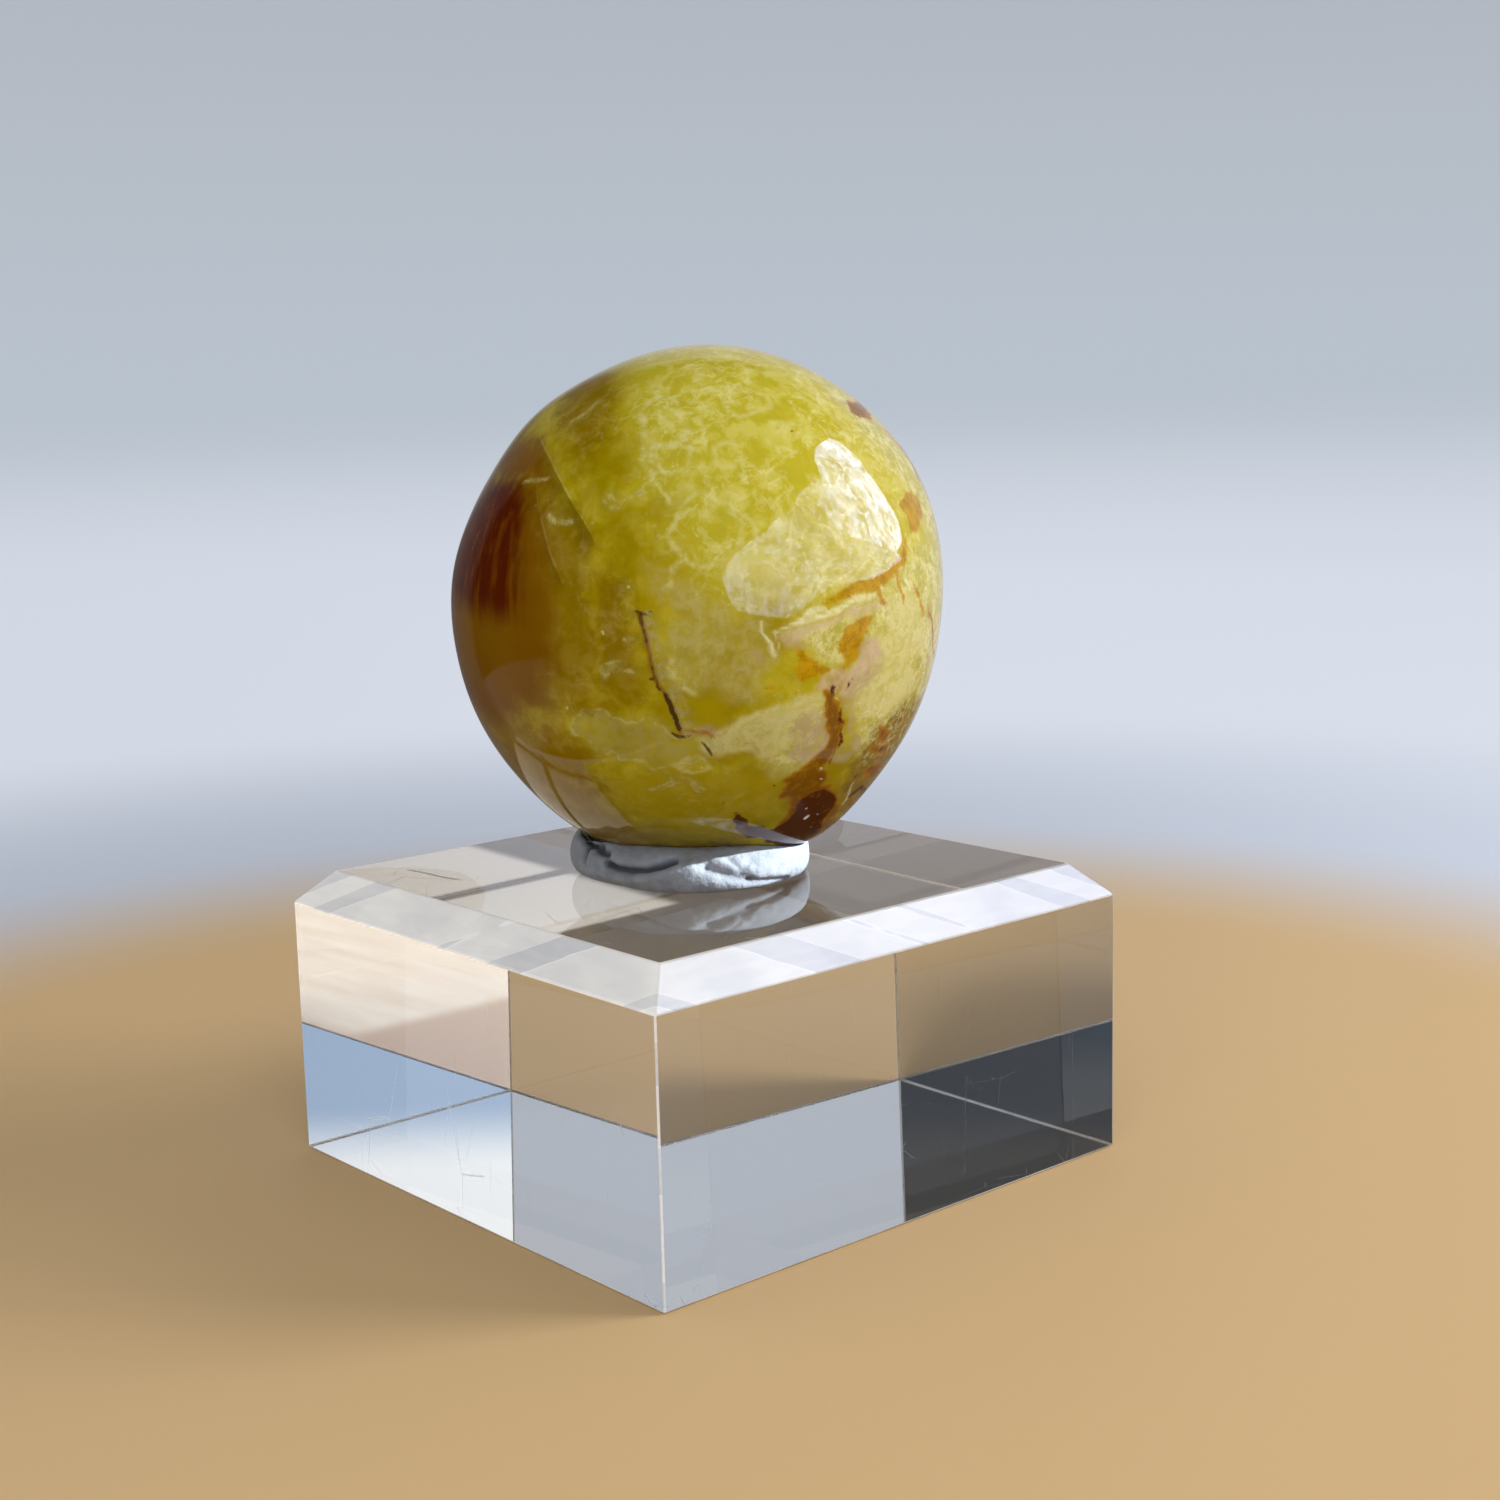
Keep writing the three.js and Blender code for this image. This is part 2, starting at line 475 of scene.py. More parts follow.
# %% What the polish mirrors
CAMERA_SIDE = Vector((EYE.x, EYE.y, 0)).normalized()
DARK_FROM, DARK_TO = -127, 70
WALL_TOP, WALL_EDGE = 38, 3
STRIP_TO, STRIP_LOW, STRIP_HIGH, STRIP_FADE = -72, -38, -18, 6
MIRROR_DARK = (0.02, 0.02, 0.02)
MIRROR_WALL = (0.58, 0.57, 0.60)
MIRROR_CORNER = (0.13, 0.115, 0.115)
MIRROR_GROUND = (0.22, 0.19, 0.16)
GROUND_FROM, GROUND_TO = -10, -18
CORNER_TO = (-164, -179)
MIRROR_STRIP = (0.30, 0.30, 0.31)

world = bpy.data.worlds.new("soft_sky")
bpy.context.scene.world = world
sky = Net(world, "Background")
sky.feed("Color", SKY_COLOUR)
sky.feed("Strength", SKY_STRENGTH)
toward = sky.node("ShaderNodeTexCoord", {}, {}, output="Generated")
beside = sky.dot(toward, CAMERA_SIDE.cross(Vector((0, 0, -1))))
before = sky.dot(toward, CAMERA_SIDE)
round_angle = sky.maths("ARCTAN2", beside, before) * math.degrees(1)
height_angle = sky.maths("ARCSINE", sky.dot(toward, (0, 0, 1))) * math.degrees(1)

dark = between(sky, round_angle, DARK_FROM, DARK_TO, WALL_EDGE)
wall = (1 - dark) * sky.fade(height_angle, WALL_TOP + WALL_EDGE, WALL_TOP - WALL_EDGE)
strip = between(sky, round_angle, DARK_FROM, STRIP_TO, 2 * WALL_EDGE)
strip_top = sky.fade(height_angle, STRIP_HIGH, STRIP_HIGH - 1)
strip_foot = sky.fade(height_angle, STRIP_LOW - STRIP_FADE, STRIP_LOW)
strip = strip * strip_top * strip_foot
corner = sky.fade(round_angle, CORNER_TO[1], CORNER_TO[0]) * sky.fade(round_angle, 0, -1)
wall_colour = sky.mix(corner, MIRROR_WALL, MIRROR_CORNER)
ground = sky.fade(height_angle, GROUND_FROM, GROUND_TO) * sky.fade(round_angle, 0, 1)
wall_colour = sky.mix(ground, wall_colour, MIRROR_GROUND)
mirrored = sky.mix(strip, sky.mix(wall, MIRROR_DARK, wall_colour), MIRROR_STRIP)
mirror_world = sky.node("ShaderNodeBackground", {}, {"Color": mirrored, "Strength": 1.0})
by_polish = sky.node("ShaderNodeLightPath", {}, {}, output="Is Glossy Ray")
plain_world = Wire(sky, sky.surface.outputs[0])
both = sky.node("ShaderNodeMixShader", {}, {0: by_polish, 1: plain_world, 2: mirror_world})
sky.tree.links.new(both.socket, sky.tree.nodes["World Output"].inputs["Surface"])
bowl.visible_glossy = False

# %% [markdown]
# A clear block shows what is behind it, folded by its own faces. Looked at from its front corner,
# the outer part of the left face shows what stands at the right, and the outer part of the right
# face what stands at the left. So a white card goes on one side and a black one on the other, as
# in a studio. These two are seen only through the block, so they light nothing.

# %% Cards for the block
BLOCK_CARDS = [
    {"name": "white_card", "azimuth": -49, "wide": 190, "low": 66, "high": 190, "glow": 1.0},
    {"name": "black_card", "azimuth": 131, "wide": 200, "low": 66, "high": 190, "glow": 0.05},
]
CARD_DISTANCE = 260
CARD_LOW_COLOUR = (0.40, 0.52, 0.70)
CARD_HIGH_COLOUR = (0.95, 0.98, 1.0)
CARD_TURN = (88, 104)


def glowing(name, colour, strength):
    """A finish that only glows: it is seen, and lights nothing."""
    finish = Finish(name, Base_Color=(0, 0, 0), Specular_IOR_Level=0.0, Emission_Color=colour)
    finish.feed("Emission Strength", strength)
    finish.material.cycles.emission_sampling = "NONE"
    return finish


def hide_from_all_but(piece, kind):
    """Lets only one kind of ray see a piece: glossy or transmission."""
    for other in ("camera", "diffuse", "glossy", "transmission", "shadow"):
        setattr(piece, "visible_" + other, other == kind)


for plan in BLOCK_CARDS:
    azimuth = math.radians(plan["azimuth"])
    out = Vector((math.cos(azimuth), math.sin(azimuth), 0))
    middle = out * CARD_DISTANCE + Vector((0, 0, (plan["low"] + plan["high"]) / 2))
    bpy.ops.mesh.primitive_plane_add(size=MM)
    bpy.context.object.matrix_world = (
        Matrix.Translation(middle * MM)
        @ out.to_track_quat("Z", "Y").to_matrix().to_4x4()
        @ Matrix.Diagonal((plan["wide"], plan["high"] - plan["low"], 1, 1))
    )
    card = newest(plan["name"])
    shine = glowing(plan["name"] + "_finish", CARD_HIGH_COLOUR, plan["glow"])
    level = shine.node("ShaderNodeSeparateXYZ", {}, {0: shine.place()}, output="Z")
    shine.feed("Emission Color", shine.mix(shine.fade(level, *CARD_TURN), CARD_LOW_COLOUR, CARD_HIGH_COLOUR))
    card.data.materials.append(shine.material)
    hide_from_all_but(card, "transmission")

# %% [markdown]
# ## The clear block
#
# Cast acrylic is cut to size and polished, and its edges keep a fine line where the polish wheel
# rounded them. A bare box would show nothing there. So a box is extruded and drawn in for the
# chamfer, and a narrow bevel then runs along each edge to catch the light.

# %% Block
BLOCK_SIDE = 50
BLOCK_HEIGHT = 25
BLOCK_CHAMFER = 2.7
EDGE_ROUNDING = 0.14

wall_height = BLOCK_HEIGHT - BLOCK_CHAMFER
bpy.ops.mesh.primitive_cube_add(
    size=BLOCK_SIDE * MM,
    location=(0, 0, wall_height / 2 * MM),
    scale=(1, 1, wall_height / BLOCK_SIDE),
)
block = newest("clear_block")
pick_faces(block, lambda face: face.normal.z > 0.9)
bpy.ops.mesh.extrude_region_move(TRANSFORM_OT_translate={"value": (0, 0, BLOCK_CHAMFER * MM)})
top_share = 1 - 2 * BLOCK_CHAMFER / BLOCK_SIDE
bpy.ops.transform.resize(value=(top_share, top_share, 1))
bpy.ops.object.mode_set(mode="OBJECT")
modify(
    block,
    "BEVEL",
    width=EDGE_ROUNDING * MM,
    segments=2,
    limit_method="ANGLE",
    angle_limit=math.radians(20),
)
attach(block, "root")
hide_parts("acrylic_block")
tell(block)

# %% [markdown]
# Acrylic bends light a little less than glass. It has no colour in a piece this small. Handling
# leaves hair scratches on the faces, where the polish is dull: the edges of very stretched cells,
# kept only where a slow noise is high. The chamfers and the fine edges are only sanded and buffed,
# so part of the light spreads in their skin, and they look white beside the faces. They take a
# second finish: streaks from the sanding, and a painted reflection in its colour: slanted pale
# bands with a bright line at their edge, as upright things make when a chamfer bends them.

# %% Finish of the block
ACRYLIC_IOR = 1.49
SCRATCH_SPACING = 7
SCRATCH_STRETCH = (1, 0.8, 0.25)
SCRATCH_DULLNESS = 0.35
SANDED_ROUGHNESS = 0.3
SANDED_CLEARNESS = 0.5
SANDED_DARK = (0.62, 0.62, 0.63)
SANDED_AND_REFLECTED_PALE = (0.94, 0.905, 0.85)
REFLECTED_LINE = (1.0, 0.98, 0.95)
SANDED_TINT = (1.0, 0.95, 0.6)
REFLECTION_SLANT = (1, 1, 1.3)
REFLECTION_SPACING = 11

acrylic = Finish(
    "clear_acrylic",
    Base_Color=(0.985, 0.992, 1.0),
    IOR=ACRYLIC_IOR,
    Transmission_Weight=1.0,
)
bent = acrylic.shifted(acrylic.place(), 1.5, 20)
cells = acrylic.cell_edge(acrylic.stretched(bent, SCRATCH_STRETCH), SCRATCH_SPACING)
scratches = acrylic.fade(cells, 0.006, 0.0) * acrylic.fade(acrylic.noise(bent, 9), 0.55, 0.65)
acrylic.feed("Roughness", scratches * SCRATCH_DULLNESS)
block.data.materials.append(acrylic.material)

sanded = Finish(
    "sanded_acrylic_and_reflections",
    Roughness=SANDED_ROUGHNESS,
    IOR=ACRYLIC_IOR,
    Specular_Tint=SANDED_TINT,
    Transmission_Weight=SANDED_CLEARNESS,
)
clouds = sanded.noise(sanded.place(), 9, detail=3)
streaks = sanded.noise(sanded.stretched(sanded.place(), (0.12, 0.12, 1)), 0.6, detail=3)
slanted = sanded.noise(sanded.dot(sanded.place(), REFLECTION_SLANT), REFLECTION_SPACING, detail=1)
slanted = slanted + 0.16 * (clouds - 0.5)
# painted reflection: slanted pale bands, the images of upright things bent by the chamfer
reflected_bands = sanded.fade(slanted, 0.56, 0.53) * 0.55
share = reflected_bands + sanded.fade(clouds, 0.36, 0.56) * 0.3 + sanded.fade(streaks, 0.4, 0.6) * 0.15
# the pale tone mixes real sanding clouds and streaks with the painted reflection bands
sanded_and_reflected = sanded.mix(share, SANDED_DARK, SANDED_AND_REFLECTED_PALE)
# painted reflection: a bright line at the edge of each band
lines = sanded.fade(sanded.size(slanted - 0.545), 0.009, 0.003)
sanded.feed("Base Color", sanded.mix(lines * 0.8, sanded_and_reflected, REFLECTED_LINE))
block.data.materials.append(sanded.material)
for face in block.data.polygons:
    if max(abs(side) for side in face.normal) < 0.99:
        face.material_index = 1

# %% [markdown]
# ## The putty
#
# Someone rolled a ball of putty and pressed the stone into it. The stock for that is a round pat,
# made as a potter would: a disc drawn up ring by ring. Its rim is then pushed into lobes, and
# whatever would lie inside the stone is pressed down to the stone's surface.

# %% Smooth copy of the stone to press by
stone_form = merged_copy("opal", "stone_form")
modify(stone_form, "SUBSURF", levels=2, render_levels=2)
STONE_MIDDLE = np.array((0.6, -0.2, 47.9))


def surface_of(piece):
    """A piece's surface, for finding points on it."""
    return BVHTree.FromObject(piece, bpy.context.evaluated_depsgraph_get())


form_surface = surface_of(stone_form)


def stone_reach(surface, direction):
    """How far the stone's surface lies from its middle, in millimetres."""
    hit, _, _, far = surface.ray_cast(Vector(STONE_MIDDLE) * MM, Vector(direction))
    return far / MM


# %% Putty
PUTTY_MIDDLE = np.array((-0.3, -0.7, 25.0))
PUTTY_SLICES = 96
PUTTY_RINGS = [
    (9.3, 0.0),
    (9.9, 0.5),
    (10.15, 1.2),
    (10.1, 2.0),
    (9.85, 2.7),
    (9.3, 3.4),
    (8.6, 3.9),
    (7.4, 4.1),
    (5.0, 4.1),
    (2.5, 4.1),
]
PUTTY_SEAT = 0.02


def drawn_up(name, slices, rings, middle):
    """A closed round body, drawn up from a disc through rings of (radius, height)."""
    radius, height = rings[0]
    bpy.ops.mesh.primitive_circle_add(
        vertices=slices,
        radius=radius * MM,
        fill_type="TRIFAN",
        location=(middle[0] * MM, middle[1] * MM, (middle[2] + height) * MM),
    )
    body = newest(name)
    pick_faces(body, lambda face: True)
    for (wide, low), (narrow, high) in zip(rings, rings[1:]):
        bpy.ops.mesh.extrude_region_move(TRANSFORM_OT_translate={"value": (0, 0, (high - low) * MM)})
        share = narrow / wide
        centre = (middle[0] * MM, middle[1] * MM, (middle[2] + high) * MM)
        bpy.ops.transform.resize(value=(share, share, 1), center_override=centre)
    bpy.ops.mesh.select_all(action="SELECT")
    bpy.ops.mesh.normals_make_consistent(inside=False)
    bpy.ops.object.mode_set(mode="OBJECT")
    return body


putty = drawn_up("pressed_putty", PUTTY_SLICES, PUTTY_RINGS, PUTTY_MIDDLE)
modify(putty, "SUBSURF", levels=2, render_levels=2)
tell(putty)

# %% [markdown]
# Fingers left their work on the rim: a folded lobe at the left, a crease under it, a thin shelf
# that spread at the front, and a second fold at the right. Each is named, with the azimuth of
# its middle and its half width in degrees, and how far it moved the putty out and up.

# %% Press the putty
PUTTY_LOBES = [
    {"name": "folded left lobe", "azimuth": 143, "out": 0.9, "up": 0.9, "breadth": 26},
    {"name": "front shelf", "azimuth": 230, "out": 0.9, "up": -0.5, "breadth": 34},
    {"name": "crease beside the fold", "azimuth": 186, "out": -0.35, "up": -0.1, "breadth": 11},
    {"name": "right fold", "azimuth": 318, "out": -0.8, "up": -0.35, "breadth": 24},
    {"name": "back bulge", "azimuth": 60, "out": 0.5, "up": 0.2, "breadth": 30},
]


def pressed(rows):
    """The putty's vertices after the fingers' work."""
    rows = rows - PUTTY_MIDDLE
    azimuth = np.degrees(np.arctan2(rows[:, 1], rows[:, 0]))
    rim = max(out for out, _ in PUTTY_RINGS)
    full = max(up for _, up in PUTTY_RINGS)
    reach = np.hypot(rows[:, 0], rows[:, 1]) / rim
    rise = rows[:, 2] / full
    out = np.zeros(len(rows))
    up = np.zeros(len(rows))
    for lobe in PUTTY_LOBES:
        away = (azimuth - lobe["azimuth"] + 180) % 360 - 180
        share = np.exp(-((away / lobe["breadth"]) ** 2))
        out += lobe["out"] * share
        up += lobe["up"] * share
    spread = 1 + out / rim * reach
    rows[:, 0] *= spread
    rows[:, 1] *= spread
    rows[:, 2] += up * rise * reach
    return rows + PUTTY_MIDDLE


def seated(rows, surface):
    """Presses what would lie inside the stone down to just outside its surface."""
    for row in rows:
        offset = row - STONE_MIDDLE
        length = np.linalg.norm(offset)
        reach = stone_reach(surface, offset / length) + PUTTY_SEAT
        if length < reach:
            row[:] = STONE_MIDDLE + offset / length * reach
    return rows


put(putty, seated(pressed(places(putty)), form_surface))

# %% [markdown]
# Then come the folds between the lobes. Each is a line on the putty, drawn by pixels at the front
# and by azimuth and height at the back. The putty sinks along it, or stands up if the depth is
# less than 0, by a share that fades with the distance. Fine ridges are prints of the skin.

# %% Fold the putty


def fold_line(name, depth, half, *line):
    """A fold: its depth and half width in millimetres, and the points of its line."""
    return {"name": name, "depth": depth, "half": half, "line": line}


PUTTY_FOLDS = [
    fold_line("fold right of the left lobe", 1.0, 0.4, (584, 832), (589, 842), (587, 852), (585, 862)),
    fold_line("rim of the second lump", -0.4, 0.4, (591, 850), (589, 860), (592, 872), (600, 882)),
    fold_line("first pinch under the stone", 0.7, 0.35, (592, 843), (598, 850), (606, 853)),
    fold_line("second pinch", 0.6, 0.3, (594, 836), (601, 845)),
    fold_line(
        "long fold",
        0.9,
        0.38,
        (606, 864), (614, 869), (628, 871), (645, 870), (662, 865), (674, 860),
    ),
    fold_line("lip under the long fold", -0.3, 0.6, (612, 877), (640, 879), (668, 874), (690, 868)),
    fold_line("hollow in the lit side", 0.35, 0.4, (706, 868), (722, 873), (736, 878), (752, 880)),
    fold_line("bump beside it", -0.25, 0.45, (716, 862), (732, 866), (748, 866)),
    fold_line("small pinch", 0.25, 0.25, (728, 860), (740, 870), (750, 862)),
    fold_line("line over the lower lip", 0.32, 0.28, (750, 881), (770, 881), (786, 879), (799, 875)),
    fold_line("notch at the right end", 0.6, 0.4, (796, 876), (802, 873), (806, 870)),
]
BACK_FOLDS = [
    fold_line("long back fold", 0.45, 0.4, (20, 27.4), (40, 26.9), (62, 27.2), (84, 27.8)),
    fold_line("short back fold", 0.4, 0.35, (100, 26.4), (112, 27.2), (120, 28.2)),
    fold_line("pinch at the right", 0.35, 0.3, (340, 27.8), (352, 27.0), (4, 27.4)),
    fold_line("back lip", -0.2, 0.5, (24, 26.2), (50, 25.9), (80, 26.3)),
]
RIDGE_PIXELS = range(596, 614, 3)
RIDGE_ROWS = (856, 861, 866)
RIDGE = {"depth": 0.1, "half": 0.1}


def from_line(rows, line):
    """How far each place lies from a line through points in space, in millimetres."""
    line = np.array(line)
    span = np.diff(line, axis=0)
    offset = rows[:, None] - line[:-1]
    along = np.clip((offset * span).sum(-1) / np.maximum((span**2).sum(-1), 1e-9), 0, 1)
    return np.linalg.norm(offset - along[..., None] * span, axis=-1).min(axis=1)


def on_putty(x, y):
    """Where a pixel of the photograph lies on the putty."""
    hit = putty_surface.ray_cast(EYE, photo_ray(x, y))[0]
    return None if hit is None else np.array(hit) / MM


def on_back(azimuth, height):
    """The place on the putty at an azimuth and a height."""
    a = math.radians(azimuth)
    inward = Vector((-math.cos(a), -math.sin(a), 0))
    start = Vector((PUTTY_MIDDLE[0], PUTTY_MIDDLE[1], height)) * MM - inward * BLOCK_SIDE * MM
    return np.array(putty_surface.ray_cast(start, inward)[0]) / MM


putty_surface = surface_of(putty)
folds = [(fold, [on_putty(*point) for point in fold["line"]]) for fold in PUTTY_FOLDS]
folds += [(fold, [on_back(*point) for point in fold["line"]]) for fold in BACK_FOLDS]
folds += [(RIDGE, [on_putty(x, y) for y in RIDGE_ROWS]) for x in RIDGE_PIXELS]
rows = places(putty)
normals = np.array([vertex.normal for vertex in putty.data.vertices])
sunk = np.zeros(len(rows))
for fold, line in folds:
    line = [point for point in line if point is not None]
    if len(line) > 1:
        sunk += fold["depth"] * np.exp(-((from_line(rows, line) / fold["half"]) ** 2))
rows -= normals * sunk[:, None]
rows[:, 2] = np.maximum(rows[:, 2], PUTTY_MIDDLE[2])
put(putty, seated(rows, form_surface))
# the depth of each fold is kept for the shade painted into it
keep(putty, "fold", np.clip(sunk, 0, 1))
only(putty)
bpy.ops.object.shade_smooth()
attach(putty, "root")
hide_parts("mineral_putty")
tell(putty)

# %% Finish of the putty
PUTTY_GREY = (0.38, 0.385, 0.40)
PUTTY_WHITE = (0.48, 0.49, 0.51)
PUTTY_FOLD_SHADE = (0.13, 0.13, 0.14)

clay = Finish("mineral_putty_finish", Roughness=0.7, Specular_IOR_Level=0.35)
here = clay.place()
mottle = clay.noise(here, 1.4, detail=4, roughness=0.6)
colour = clay.mix(clay.fade(mottle, 0.3, 0.7), PUTTY_GREY, PUTTY_WHITE)
# painted shade: the putty darkens to near black in its folds and creases
clay.feed("Base Color", clay.mix(clay.fade(clay.stored("fold"), 0.1, 0.7), colour, PUTTY_FOLD_SHADE))
lumps = clay.noise(here, 1.1, detail=4, roughness=0.55)
clay.feed("Normal", clay.dents(lumps, 0.3))
putty.data.materials.append(clay.material)

# %% [markdown]
# In the photograph the putty lies in the stone's shade, but a gap of low light passes under the
# stone and picks out its right half. So two of the lamps pass it over, and a small one lights it
# alone. The block's sanded edges have a soft light of their own as well, as the window would
# burn them out.

# %% Which lamp lights what
LAMP_PIECES = [
    ("window_light", "EXCLUDE", [block, putty]),
    ("room_light", "EXCLUDE", [putty]),
    ("window_gap", "INCLUDE", [putty]),
    ("edge_light", "INCLUDE", [block]),
]
for name, state, pieces in LAMP_PIECES:
    group = bpy.data.collections.new(name + "_pieces")
    for piece in pieces:
        group.objects.link(piece)
    for entry in group.collection_objects:
        entry.light_linking.link_state = state
    bpy.data.objects[name].light_linking.receiver_collection = group

# %% [markdown]
# ## The stone
#
# A tumbled stone has no edges, so a ball that is even all over suits it better than one with
# poles. A box is cut into small squares, cast into a ball and shrunk on to the CAD form, whose
# flats and shoulders it takes. Smoothing removes the facets. Last come swells of a few hundredths
# of a millimetre, which polishing leaves where the stone is harder: they bend every reflection.

# %% Stone
STONE_RADIUS = 21.05
STONE_CUTS = 7
SWELL_WIDTH = 5.5
SWELL_HEIGHT = 0.05

bpy.ops.mesh.primitive_cube_add(size=2 * STONE_RADIUS * MM, location=STONE_MIDDLE * MM)
stone = newest("polished_opal")
modify(stone, "SUBSURF", subdivision_type="SIMPLE", levels=STONE_CUTS, render_levels=STONE_CUTS)
rows = places(stone) - STONE_MIDDLE
put(stone, rows / np.linalg.norm(rows, axis=1)[:, None] * STONE_RADIUS + STONE_MIDDLE)
modify(stone, "SHRINKWRAP", target=stone_form, wrap_method="NEAREST_SURFACEPOINT")
modify(stone, "SMOOTH", factor=0.5, iterations=12)
smooth_surface = surface_of(stone)

swells = bpy.data.textures.new("polish_swells", "CLOUDS")
swells.noise_scale = SWELL_WIDTH * MM
swells.noise_depth = 1
modify(stone, "DISPLACE", texture=swells, texture_coords="LOCAL", strength=SWELL_HEIGHT * MM, mid_level=0.5)
only(stone)
bpy.ops.object.shade_smooth()
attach(stone, "root")
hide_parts("opal")
tell(stone)

# %% [markdown]
# ## The window in the polish
#
# The window's image lies on the stone like a bright torn leaf: the pane itself, and the dimmer
# curtain beside it. Its shape is known from where it lies, so each corner of its outline is sent
# to the stone and mirrored, and the card's corner is put where that ray goes. The card is seen
# only by mirror rays, so it slides over the stone in other views as a real window's image does.

# %% Window cards
PANE = [
    (828, 439), (816, 449), (814, 458), (817, 467), (823, 480), (822, 494), (817, 504), (828, 518),
    (838, 528), (855, 535), (880, 546), (897, 552), (903, 541), (899, 523), (888, 502), (872, 480),
    (859, 461), (842, 444),
]
CURTAIN = [
    (814, 476), (809, 485), (798, 495), (795, 507), (780, 518), (766, 530), (748, 542), (735, 556),
    (726, 569), (720, 578), (724, 588), (733, 609), (747, 614), (766, 616), (786, 616), (797, 614),
    (814, 600), (833, 588), (850, 585), (872, 580), (890, 569), (902, 561), (897, 552), (880, 546),
    (855, 535), (838, 528), (828, 518), (817, 504), (822, 494), (823, 480),
]
WINDOW_CARDS = [
    {"name": "window_pane", "outline": PANE, "glow": 13.0, "colour": (0.52, 0.60, 1.0)},
    {"name": "window_curtain", "outline": CURTAIN, "glow": 7.2, "colour": (0.50, 0.58, 0.90)},
]
WINDOW_FAR = 400
FOLDS = 60
PLEATS = 16
BRIGHT_FOLD = 2.2
DIM_FOLD = 0.35
CRISP = (0.47, 0.53)


def mirrored_place(x, y):
    """Where the stone's polish sends the camera's ray through a pixel."""
    ray = photo_ray(x, y)
    hit, normal, _, _ = smooth_surface.ray_cast(EYE, ray)
    return hit + ray.reflect(normal) * WINDOW_FAR * MM


for plan in WINDOW_CARDS:
    flat = [Vector((x, -y, 0)) for x, y in plan["outline"]]
    corners = [mirrored_place(x, y) for x, y in plan["outline"]]
    mesh = bpy.data.meshes.new(plan["name"])
    mesh.from_pydata(corners, [], tessellate_polygon([flat]))
    card = bpy.data.objects.new(plan["name"], mesh)
    bpy.context.scene.collection.objects.link(card)
    shine = glowing(plan["name"] + "_finish", plan["colour"], plan["glow"])
    hung = shine.shifted(shine.place(), FOLDS, 2 * FOLDS)
    folds = shine.noise(hung, FOLDS, detail=1)
    creases = shine.fade(shine.size(shine.noise(hung, 0.6 * FOLDS, detail=1) - 0.5), 0.03, 0.012)
    pleats = shine.noise(shine.stretched(shine.place(), (1, 1, 0.1)), PLEATS, detail=2)
    folded = 0.6 * creases + 0.3 * shine.fade(folds, *CRISP) + 0.2 * shine.fade(pleats, *CRISP)
    bright = [channel * BRIGHT_FOLD for channel in plan["colour"]]
    dim = [channel * DIM_FOLD for channel in plan["colour"]]
    shine.feed("Emission Color", shine.mix(folded, dim, bright))
    card.data.materials.append(shine.material)
    hide_from_all_but(card, "glossy")

# %% [markdown]
# ## The stone's markings
#
# Opal grows its colour in patches, films and threads. They could be left to noise, but this stone
# is known by its own: the amber flank, the hair crack, the brown vein with its dark foot. Each is
# drawn on the stone as a patch, given by its outline, or as a thread, given by points with a half
# width in millimetres. The front ones are placed by pixels of the photograph, and the ones that
# it doesn't show by angles round the stone. What is kept at each vertex is only how far it lies
# from the nearest mark of a kind, less than 0 inside, so the edge stays a matter for the finish.

# %% Places on the stone
FRONT_AZIMUTH = -39.8
FRONT_ELEVATION = 5.7
RING_POINTS = 18


def by_pixel(x, y):
    """The direction from the stone's middle to where a pixel of the photograph lies on it."""
    ray = photo_ray(x, y)
    hit = smooth_surface.ray_cast(EYE, ray)[0]
    if hit is None:
        middle = Vector(STONE_MIDDLE) * MM
        hit = EYE + ray * (middle - EYE).dot(ray)
    return np.array((hit / MM - Vector(STONE_MIDDLE)).normalized())


def by_angle(around, forward):
    """A direction from the stone's middle: anticlockwise from the right as seen from the front, and
    how far it leans to the viewer."""
    a, e = math.radians(FRONT_AZIMUTH), math.radians(FRONT_ELEVATION)
    viewer = np.array((math.sin(a) * math.cos(e), -math.cos(a) * math.cos(e), math.sin(e)))
    right = np.array((math.cos(a), math.sin(a), 0))
    up = np.cross(viewer, right)
    a, f = math.radians(around), math.radians(forward)
    return math.cos(f) * (math.cos(a) * right + math.sin(a) * up) + math.sin(f) * viewer


def patch(name, *outline, by=by_pixel):
    """A mark with an outline."""
    return {"name": name, "closed": True, "points": [by(*point) for point in outline]}


def thread(name, *points, by=by_pixel):
    """A mark along a line: each point also has a half width in millimetres."""
    widths = [point[2] for point in points]
    return {"name": name, "closed": False, "points": [by(*point[:2]) for point in points], "widths": widths}


def ring(name, x, y, wide, high, half):
    """A thread round an ellipse, whose middle and half sizes are in pixels."""
    turns = np.linspace(0, 2 * math.pi, RING_POINTS)
    return thread(name, *((x + wide * math.cos(t), y + high * math.sin(t), half) for t in turns))


def spot(name, x, y, half):
    """A round dot."""
    return thread(name, (x, y, half), (x + 0.5, y + 0.5, half))


# %% [markdown]
# The zones come first: broad soft changes of the stone's body, from a pale green crown to an
# ochre foot. Then come the amber flank, the milky films and the threads.

